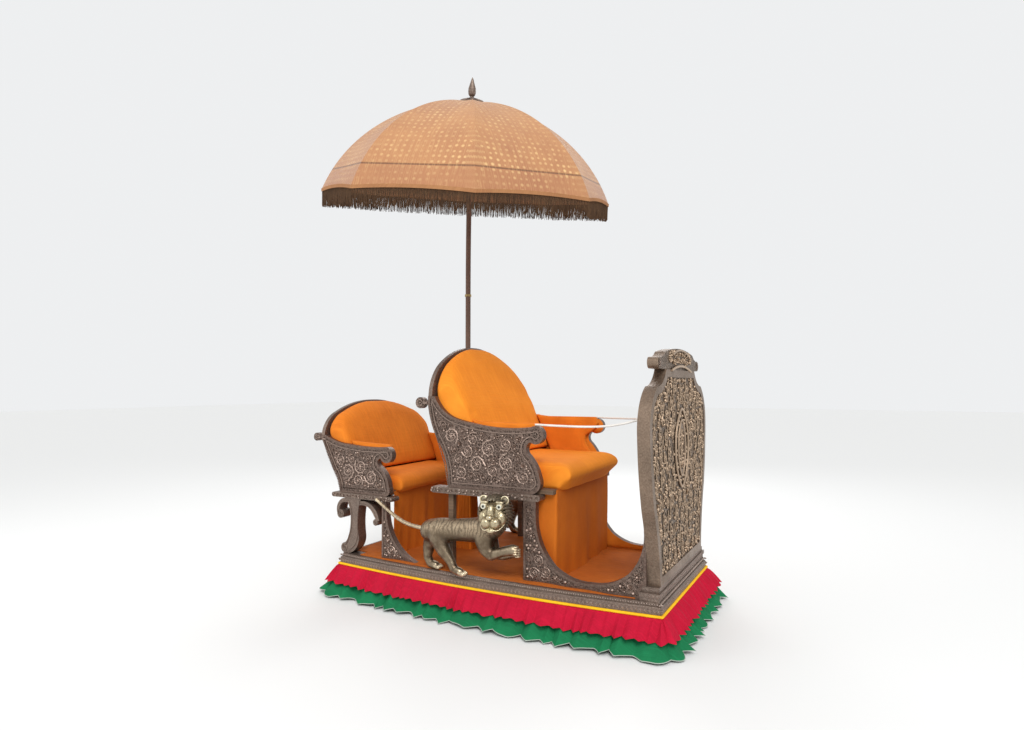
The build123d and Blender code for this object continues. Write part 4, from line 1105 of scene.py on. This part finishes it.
def packed(surface, out, low, high, sizes, seed, mirrored=False, kept_clear=(), drawn=1.0, plane=None):
    """Motifs packed, largest first, wherever the flat ground of a surface has room for their whole circle."""
    out = Vector(out)
    right = UP.cross(out)
    tree = BVHTree.FromObject(surface, bpy.context.evaluated_depsgraph_get())
    rng = random.Random(seed)
    taken, made = list(kept_clear), []

    def ground(u, v):
        hit = tree.ray_cast(right * u + UP * v + out * 2.0, -out)
        return hit[0].dot(out) if hit[0] and hit[1].dot(out) > 0.9 else None

    def room(u, v, radius):
        """The level of the ground if a motif fits there."""
        if any(hypot(u - a, v - b) < CLOSE * (radius + c) for a, b, c in taken):
            return None
        level = ground(u, v)
        if level is None or plane is not None and abs(level - plane) > PLANE_GAP:
            return None
        for k in range(8):
            rim = ground(u + radius * cos(0.785 * k), v + radius * sin(0.785 * k))
            if rim is None or abs(rim - level) > LEVEL_GAP:
                return None
        return level

    for radius, most in sizes:
        found = 0
        for _ in range(TRIES):
            if found >= most:
                break
            u, v = rng.uniform(low[0], high[0]), rng.uniform(low[1], high[1])
            if mirrored:
                u = 0.0 if abs(u) < 0.5 * radius else max(abs(u), radius)
            level = room(u, v, radius)
            if level is None:
                continue
            found += 1
            kind = kind_for(radius, found)
            for side in ((1, -1) if mirrored and u else (1,)):
                taken.append((side * u, v, radius))
                turn = rng.uniform(0, 2 * pi) if side == 1 else pi - turn
                at = right * (side * u) + UP * v + out * (level - 0.0003)
                made.append(laid(kind, at, out, radius * 1.06, turn, min(1.5, 0.030 / radius),
                                 side if kind == "scroll" else 1, drawn))
    return made


def raised_piece(name, motifs, look=RAISED, body="howdah"):
    """Laid motifs joined as one piece of silver."""
    piece = joined(name, motifs)
    smooth(piece, 60)
    return dress(piece, body, look)


# (radius, how many at most) of the motifs, largest first
BOARD_SIZES = ((0.062, 5), (0.050, 8), (0.038, 16), (0.028, 30), (0.020, 60), (0.014, 110), (0.009, 260),
               (0.006, 260))
CREST_SIZES = ((0.016, 40), (0.011, 90), (0.008, 160), (0.0055, 160))
PANEL_SIZES = ((0.046, 4), (0.036, 8), (0.028, 14), (0.022, 22)) + CREST_SIZES


def tube(points, radius, sides=3, taper=1.0):
    """A bent round bar as a mesh, through given points, its far end taper times as thick."""
    swell = [1 + (taper - 1) * k / (len(points) - 1) for k in range(len(points))]
    return as_mesh(bent_bar(points, radius, sides, steps=4, swell=swell))


BOSS_H = 0.645


def pointed_oval(half_w, half_h, count):
    """The outline of the tall boss on the front board, drawn to a point above and below."""
    route = []
    for k in range(count + 1):
        a = 2 * pi * k / count
        y = half_w * cos(a) * (1 - 0.12 * abs(sin(a)) ** 3)
        z = half_h * sin(a) * (1 + 0.10 * abs(sin(a)) ** 9)
        route.append((FRONT_FACE + 0.0045, y, BASE_Z + BOSS_H + z))
    return route


def brow(x, h, sag, half, count):
    """A moulding across the board that falls away to both sides."""
    across = [half * (2 * k / (count - 1) - 1) for k in range(count)]
    return [(x, y, BASE_Z + h - sag * y * y) for y in across]


AHEAD = (1, 0, 0)
RINGS = [pointed_oval(0.118, 0.165, 40), pointed_oval(0.066, 0.118, 32)]
board = NODES["front_panel"]
round_boss = [(y, z, 0.015) for ring in RINGS for x, y, z in ring]
leaves = packed(board, AHEAD, (-0.5, BASE_Z + 0.11), (0.5, BASE_Z + 0.99), BOARD_SIZES, 5, mirrored=True,
                kept_clear=round_boss, drawn=1.22, plane=FRONT_FACE)
leaves += packed(board, AHEAD, (-0.2, BASE_Z + 1.04), (0.2, BASE_Z + 1.09), CREST_SIZES, 6, mirrored=True)
raised_piece("front_board_foliage", leaves, BOARD_RAISED)
boss = [tube(RINGS[0], 0.0070), tube(RINGS[1], 0.0060),
        tube(brow(0.850, 1.024, 0.7, 0.18, 21), 0.0060), tube(brow(0.849, 1.098, 1.1, 0.15, 11), 0.0045),
        laid("rosette", (FRONT_FACE, 0, BASE_Z + BOSS_H), AHEAD, 0.030, 0, 0.7, drawn=1.5)]
for s in (1, -1):
    boss.append(laid("palmette", (FRONT_FACE, 0, BASE_Z + BOSS_H + s * 0.070), AHEAD, 0.028, s * pi / 2, 0.7))
raised_piece("front_board_boss_and_mouldings", boss, BOARD_RAISED)

SIDE_WORK = (  # board, low corner, high corner in X and height above the base, sizes, seed
    ("front_side_panel", (-0.32, 0.43), (0.32, 0.89), PANEL_SIZES, 11),
    ("rear_side_panel", (-1.05, 0.35), (-0.54, 0.68), PANEL_SIZES, 12),
    ("side_frame", (0.21, 0.04), (0.80, 0.52),
     ((0.030, 10), (0.020, 30), (0.014, 60), (0.010, 120), (0.007, 200)), 13),
    ("rear_spandrel", (-0.61, 0.04), (-0.37, 0.34),
     ((0.030, 4), (0.020, 12), (0.014, 20), (0.009, 50), (0.006, 80)), 14),
    ("front_beam", (-0.29, 0.40), (0.31, 0.45), ((0.012, 60), (0.006, 60)), 15),
    ("rear_beam", (-0.94, 0.33), (-0.53, 0.37), ((0.010, 50), (0.005, 60)), 16),
)


def inner_moulding(node, s):
    """A thin raised line run round a board's field, a little way in from its border."""
    line = node_copy(node, node + "_line")
    keep_faces(line, lambda p: p.normal.y * s > 0.9 and abs(abs(p.center.y) - SIDE_FACE) < 0.0008)

    def border_off():
        bpy.ops.mesh.dissolve_limited(angle_limit=radians(3))
        bpy.ops.mesh.inset(thickness=0.010)
        bpy.ops.mesh.select_all(action="INVERT")
        bpy.ops.mesh.delete(type="FACE")

    def field_out():
        bpy.ops.mesh.inset(thickness=0.0048)
        bpy.ops.mesh.delete(type="FACE")
    in_edit(line, border_off, field_out)
    modifier(line, "SOLIDIFY", thickness=0.0042, offset=1)
    modifier(line, "BEVEL", width=0.0012, segments=2)
    return line


def along_edges(piece, s):
    """Spots a centimetre apart at most along a line's edges, to be kept clear of motifs."""
    spots = set()
    for edge in piece.data.edges:
        first, last = (piece.data.vertices[k].co for k in edge.vertices)
        stops = 1 + int((last - first).length / 0.005)
        for k in range(stops):
            p = first.lerp(last, k / stops)
            spots.add((round(-s * p.x, 2), round(p.z, 2)))
    return [(*spot, 0.006) for spot in sorted(spots)]


for node, low, high, sizes, seed in SIDE_WORK:
    for s, hand in HANDS:
        lines = [inner_moulding(f"{node}_{hand}", s)] if "side_panel" in node else []
        clear = [spot for line in lines for spot in along_edges(line, s)]
        beam = "beam" in node
        left, right = sorted((-s * low[0], -s * high[0]))
        work = packed(NODES[f"{node}_{hand}"], (0, s, 0), (left, BASE_Z + low[1]), (right, BASE_Z + high[1]),
                      sizes, seed, kept_clear=clear, plane=None if beam else SIDE_FACE)
        raised_piece(f"{node}_foliage_{hand}", work + lines, RAISED if beam else SIDE_RAISED)

edge = []
for kind, count, grow, h, radius, turn, tall in (("palmette", 300, -0.0001, 0.0145, 0.0105, pi / 2, 0.5),
                                                 ("bead", 520, -0.0102, 0.0375, 0.0040, 0, 0.8)):
    for k in range(count):
        point, out, _ = on_base((k + 0.5) / count, grow, h)
        edge.append(laid(kind, point, out, radius, turn, tall))
raised_piece("plinth_leaf_moulding", edge)

STEPS = (  # front face, half width, height above the base, leaf radius, spacing
    (0.851, 0.413, 0.054, 0.0075, 0.016),
    (0.856, 0.418, 0.0715, 0.0075, 0.016),
    (0.849, 0.402, 0.0905, 0.0085, 0.018),
)
steps = []
for front_x, half, h, radius, gap in STEPS:
    for k in range(int(2 * half / gap) - 1):
        at = (front_x, -half + gap * (k + 1), BASE_Z + h)
        steps.append(laid("palmette", at, AHEAD, radius, pi / 2, 0.5))
    for s in (1, -1):
        for k in range(4):
            at = (front_x - gap * (k + 0.7), s * half, BASE_Z + h)
            steps.append(laid("palmette", at, (0, s, 0), radius, pi / 2, 0.5))
raised_piece("front_step_moulding", steps)


def strung(route, radius, gap, out):
    """Beads along a route of points."""
    beads, carry = [], 0.0
    for a, b in zip(route, route[1:]):
        a, b = Vector(a), Vector(b)
        while carry < (b - a).length:
            beads.append(laid("bead", a + (b - a).normalized() * carry, out, radius, 0))
            carry += gap
        carry -= (b - a).length
    return beads


def curled(x, h, r, start, way):
    """A moulding wound in on a scroll's eye, from the angle where it leaves the stem."""
    route = []
    for k in range(12):
        a, shrunk = start + way * 0.7 * k, r * (1 - 0.055 * k)
        route.append((x + shrunk * cos(a), h + shrunk * sin(a)))
    return route


BEAD_ROUTES = (  # points of x and height above the base, up the rear edge of each seat's side board
    ((-0.196, 0.455), (-0.214, 0.55), (-0.258, 0.665), (-0.291, 0.76), (-0.304, 0.84)),
    ((-0.891, 0.375), (-0.908, 0.43), (-0.945, 0.49), (-0.985, 0.565), (-1.015, 0.635)),
)
SCROLL_EYES = (  # x, height above the base, radius
    (-0.362, 0.848, 0.020), (-1.062, 0.652, 0.016), (0.283, 0.712, 0.020), (-0.583, 0.588, 0.017))
LEG_EYES = ((-0.846, 0.072, 0.009), (-0.880, 0.248, 0.008), (-0.640, 0.224, 0.006))
BEAM_ENDS = ((-0.273, 0.424, 0.012), (0.294, 0.424, 0.012), (-0.926, 0.3495, 0.010), (-0.541, 0.3495, 0.010))
LEG_MOULDINGS = (  # points of x and height above the base, half thickness
    ([(-0.826, 0.322), (-0.808, 0.285), (-0.802, 0.235), (-0.804, 0.190), (-0.812, 0.150)]
     + curled(-0.846, 0.072, 0.0225, 1.1, 1), 0.0042),
    ([(-0.748, 0.324), (-0.760, 0.270), (-0.764, 0.215), (-0.758, 0.145), (-0.776, 0.085),
      (-0.820, 0.058)], 0.0036),
    ([(-0.826, 0.318), (-0.858, 0.318), (-0.884, 0.300)] + curled(-0.880, 0.248, 0.0190, 2.6, 1), 0.0038),
    ([(-0.752, 0.306), (-0.712, 0.312), (-0.668, 0.292)] + curled(-0.640, 0.224, 0.0135, 0.9, -1), 0.0034),
)
# how far out from the centre plane each kind sits
BEADS_OUT, LEG_EYES_OUT, LEG_BARS_OUT, BEAM_ENDS_OUT = 0.4035, 0.405, 0.4055, 0.410
bead_rows = []
for s, hand in HANDS:
    out = (0, s, 0)
    for route in BEAD_ROUTES:
        bead_rows += strung([(x + 0.006, s * BEADS_OUT, BASE_Z + h) for x, h in route], 0.0042, 0.009, out)
    for eyes, face, tall in ((SCROLL_EYES, SIDE_FACE, 0.8), (LEG_EYES, LEG_EYES_OUT, 1.2)):
        bead_rows += [laid("rosette", (x, s * face, BASE_Z + h), out, r, 0.3, tall) for x, h, r in eyes]
    for outline, thick in LEG_MOULDINGS:
        bead_rows.append(tube([(x, s * LEG_BARS_OUT, BASE_Z + h) for x, h in outline], thick, taper=0.7))
    for x, h, r in BEAM_ENDS:
        bead_rows.append(laid("rosette", (x, s * BEAM_ENDS_OUT, BASE_Z + h), out, r, 0.3, 0.8))
    bead_rows.append(laid("rosette", (FRONT_FACE, s * 0.349, BASE_Z + 1.032), AHEAD, 0.022, 0.3, 0.8))
raised_piece("bead_rows_and_bosses", bead_rows, PLAIN)

# orange cloth stretched over the inner faces of the side boards; the knobs behind the seats stay bare
INNER_FACE = 0.372            # inner faces lie nearer the centre plane than this
LINED = {"side_frame": -2.0, "rear_spandrel": -2.0, "front_side_panel": -0.335, "rear_side_panel": -1.035}
for node, cloth_from in LINED.items():
    for s, hand in HANDS:
        lining = node_copy(f"{node}_{hand}", f"{node}_lining_{hand}")

        def covered(p):
            inner = p.normal.y * s < -0.9 and abs(p.center.y) < INNER_FACE
            return inner and max(lining.data.vertices[k].co.x for k in p.vertices) > cloth_from
        keep_faces(lining, covered)
        area = sum(p.area for p in lining.data.polygons)
        for v in lining.data.vertices:
            v.co.y -= s * 0.0012
        modifier(lining, "SOLIDIFY", thickness=0.001, offset=-1)
        along, up = ([v.co[k] for v in lining.data.vertices] for k in (0, 2))
        across, tall = max(along) - min(along), max(up) - min(up)
        finished_sheet(lining, ORANGE, "orange_cloth", angle=None, flat=(across, tall),
                       area=max(area, 0.3 * across * tall), held="stretched", rests_on=[f"{node}_{hand}"])

# leaves round the crown, and a ring of petals under the bud
crown = []
for k in range(10):
    round_pole = HEAD @ Matrix.Rotation(2 * pi * k / 10, 4, "Z")
    for at, size, tilt in (((0.040, 0, 0.010), (0.028, 0.011, 0.006), 0.25),
                           ((0.013, 0, 0.040), (0.006, 0.006, 0.014), 0.45)):
        leaf = lump(at, size, 0, tilt, fine=2)
        crown.append(copy_of(leaf, round_pole))
        drop(leaf)
raised_piece("crown_leaves", crown, body="parasol")

# ================================================================ the carved cats
CAT_Y = 0.445                 # the plane of each trunk, from the centre plane
CAT_CHAINS = (  # x, out from the plane, h and radius along the trunk, two hind legs and two forelegs
    ((-0.262, 0, 0.232, 0.052), (-0.200, 0, 0.240, 0.056), (-0.110, 0, 0.250, 0.050),
     (-0.020, 0, 0.258, 0.054), (0.050, 0, 0.268, 0.062), (0.095, 0.012, 0.298, 0.060),
     (0.118, 0.032, 0.326, 0.058)),
    ((-0.205, 0.022, 0.215, 0.046), (-0.172, 0.028, 0.160, 0.033), (-0.128, 0.028, 0.108, 0.021),
     (-0.110, 0.028, 0.072, 0.019), (-0.076, 0.028, 0.062, 0.019)),
    ((-0.258, -0.016, 0.210, 0.042), (-0.285, -0.018, 0.150, 0.028), (-0.292, -0.018, 0.098, 0.020),
     (-0.276, -0.018, 0.068, 0.019), (-0.244, -0.018, 0.061, 0.019)),
    ((0.050, 0.022, 0.240, 0.046), (0.066, 0.030, 0.188, 0.033), (0.094, 0.030, 0.162, 0.025),
     (0.150, 0.030, 0.182, 0.021), (0.206, 0.030, 0.198, 0.024)),
    ((0.055, -0.016, 0.230, 0.040), (0.086, -0.018, 0.160, 0.026), (0.130, -0.018, 0.152, 0.020),
     (0.196, -0.018, 0.174, 0.021)),
)
CAT_BALLS = []
for chain in CAT_CHAINS:
    for a, b in zip(chain, chain[1:]):
        stops = max(2, int(3 * (Vector(b[:3]) - Vector(a[:3])).length / (a[3] + b[3]) * 2))
        CAT_BALLS += [tuple(p + (q - p) * k / stops for p, q in zip(a, b)) for k in range(stops)]
    CAT_BALLS.append(chain[-1])
CAT_TOES = ((-0.062, 0.028, 0.058), (-0.230, -0.018, 0.058), (0.218, 0.030, 0.198), (0.204, -0.018, 0.174))
CAT_TAIL = ((-0.290, 0.0, 0.236), (-0.380, -0.006, 0.238), (-0.470, -0.014, 0.262), (-0.560, -0.022, 0.310),
            (-0.622, -0.024, 0.348))
CAT_FACE = (  # across, ahead and up from the middle of the head, then the size the same three ways
    ((0, -0.004, 0.006), (0.062, 0.056, 0.060)),         # skull
    ((0, 0.024, -0.032), (0.050, 0.040, 0.040)),         # jaw
    ((0, 0.044, 0.014), (0.020, 0.026, 0.040)),          # bridge of the nose
    ((0, 0.077, -0.001), (0.015, 0.010, 0.011)),         # tip of the nose
    ((0, 0.050, -0.062), (0.022, 0.019, 0.013)),         # chin
)
CAT_FACE_PAIRS = (
    ((0.021, 0.054, -0.027), (0.026, 0.025, 0.025)),     # muzzle
    ((0.040, 0.024, -0.012), (0.026, 0.027, 0.036)),     # cheek
    ((0.037, 0.032, 0.044), (0.020, 0.018, 0.018)),      # eye socket
    ((0.036, 0.036, 0.061), (0.020, 0.011, 0.007)),      # brow
)
MANE_RINGS = (  # size, lift, how far ahead, thickness of a lock
    (1.02, 0.004, 0.026, 0.0040), (1.12, 0.000, 0.014, 0.0046), (1.20, -0.004, 0.000, 0.0050))
LOCK = (  # distance from the middle, ahead, and the turn round the head, along a lock from its root
    (0.056, 0.010, 0.0), (0.064, 0.0, 0.10), (0.068, -0.018, 0.22), (0.068, -0.040, 0.30),
    (0.062, -0.058, 0.36))
SMILE = ((0.004, 0.064, -0.052), (0.024, 0.066, -0.062), (0.046, 0.050, -0.054), (0.060, 0.026, -0.030))
EYE_X, EYE_UP = 0.037, 0.043
EAR_X, EAR_UP = 0.050, 0.066
HEAD_AT = (0.122, 0.050, 0.352)
HEAD_FORWARD = radians(12)


def cast(name, balls, s, resolution, grown):
    """Rounded forms run together as a casting, from balls at their places."""
    only()
    bpy.ops.object.metaball_add(type="BALL", location=(0, 0, 0))
    body = bpy.context.object
    body.data.resolution = body.data.render_resolution = resolution
    body.data.threshold = 0.10
    body.data.elements.clear()
    for x, out, h, radius in balls:
        ball = body.data.elements.new(type="BALL")
        ball.co = (x, s * (CAT_Y + out), BASE_Z + h)
        ball.radius = radius * grown
        ball.stiffness = 2.0
    as_mesh(body)
    return named(name)


def ring_at(across, ahead, up, major, minor):
    """A ring that looks ahead, as round an eye or an ear."""
    only()
    bpy.ops.mesh.primitive_torus_add(location=(across, ahead, up), rotation=(pi / 2, 0, 0), major_segments=24,
                                     minor_segments=8, major_radius=major, minor_radius=minor)
    return settle(bpy.context.object)


def cat_toes(at):
    """Four toes with gaps between them on each paw, one above another on the raised ones."""
    toes = []
    for x, out, h in CAT_TOES:
        for k in (-1.5, -0.5, 0.5, 1.5):
            if h < 0.1:
                toes.append(lump(at(x, out + 0.011 * k, h), (0.020, 0.0066, 0.010), 0, 0.2, fine=2))
            else:
                place = at(x, out + 0.004 - 0.002 * abs(k), h + 0.0100 * k)
                toes.append(lump(place, (0.017, 0.016, 0.0062), fine=2))
    return toes


def cat_mane():
    """Locks in three rings round the head, open under the chin, with the backs of the ears."""
    locks = []
    for ring, (size, lift, front, radius) in enumerate(MANE_RINGS):
        count = 26 + 4 * ring
        for k in range(count):
            a = 2 * pi * (k + 0.5 * (ring % 2)) / count
            if ring == 0 and sin(a) < -0.55:
                continue
            run = [(size * r * cos(a + turn), front + y, 0.004 + lift + size * r * sin(a + turn) * 1.04)
                   for r, y, turn in LOCK]
            locks.append(tube(run, radius, sides=2, taper=0.6))
    for m in (1, -1):
        locks.append(lump((m * EAR_X, -0.006, EAR_UP), (0.017, 0.010, 0.016), fine=2))
    return locks


def cat_head(hand):
    """Face, mane, eye whites and pupils, made looking along Y with the middle of the head at the origin."""
    bits = list(CAT_FACE)
    for (across, ahead, up), size in CAT_FACE_PAIRS:
        bits += [((m * across, ahead, up), size) for m in (1, -1)]
    face = joined(f"cat_face_{hand}", [lump(place, size, fine=3) for place, size in bits])
    modifier(face, "REMESH", mode="VOXEL", voxel_size=0.003, use_smooth_shade=True)
    modifier(face, "SMOOTH", factor=0.6, iterations=4)
    locks = cat_mane()
    trim, whites, pupils = [], [], []
    for m in (1, -1):
        trim.append(tube([(m * across, ahead, up) for across, ahead, up in SMILE], 0.0026, taper=0.6))
        whites.append(ring_at(m * EYE_X, 0.049, EYE_UP, 0.0092, 0.0028))
        whites.append(lump((m * EYE_X, 0.043, EYE_UP), (0.0098, 0.0085, 0.0098), fine=3))
        pupils.append(lump((m * EYE_X, 0.0505, EYE_UP), (0.0054, 0.0040, 0.0054), fine=3))
        trim.append(ring_at(m * EAR_X, 0.000, EAR_UP, 0.0165, 0.0042))
    return (("face", [face] + trim, CAT_FACE_GILT), ("mane", locks, MANE),
            ("eye_whites", whites, EYE_WHITE), ("eye_pupils", pupils, EYE_BLACK))


for s, hand in HANDS:
    def at(x, out, h):
        return (x, s * (CAT_Y + out), BASE_Z + h)
    parts = [cast(f"cat_body_{hand}", CAT_BALLS, s, 0.008, 1.24)] + cat_toes(at)
    parts.append(tube([at(*place) for place in CAT_TAIL], 0.010, taper=0.85))
    cat = joined(f"carved_cat_{hand}", parts)
    smooth(cat, 50)
    dress(cat, "howdah", CAT)
    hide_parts(f"cat_{hand}")

    # the head is turned a little forward and set on the neck
    ahead = Vector((sin(HEAD_FORWARD), s * cos(HEAD_FORWARD), 0))
    set_on = Matrix((ahead.cross(UP), ahead, UP)).transposed().to_4x4()
    set_on.translation = at(*HEAD_AT)
    for what, bits, look in cat_head(hand):
        piece = joined(f"cat_{what}_{hand}", bits)
        piece.data.transform(set_on)
        dress(smooth(piece, 60), "howdah", look)
for motif in MOTIFS.values():
    drop(motif)

# ================================================================ the end
low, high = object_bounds()
{"cad": [list(cad_low), list(cad_high)], "visual": [list(low), list(high)]}
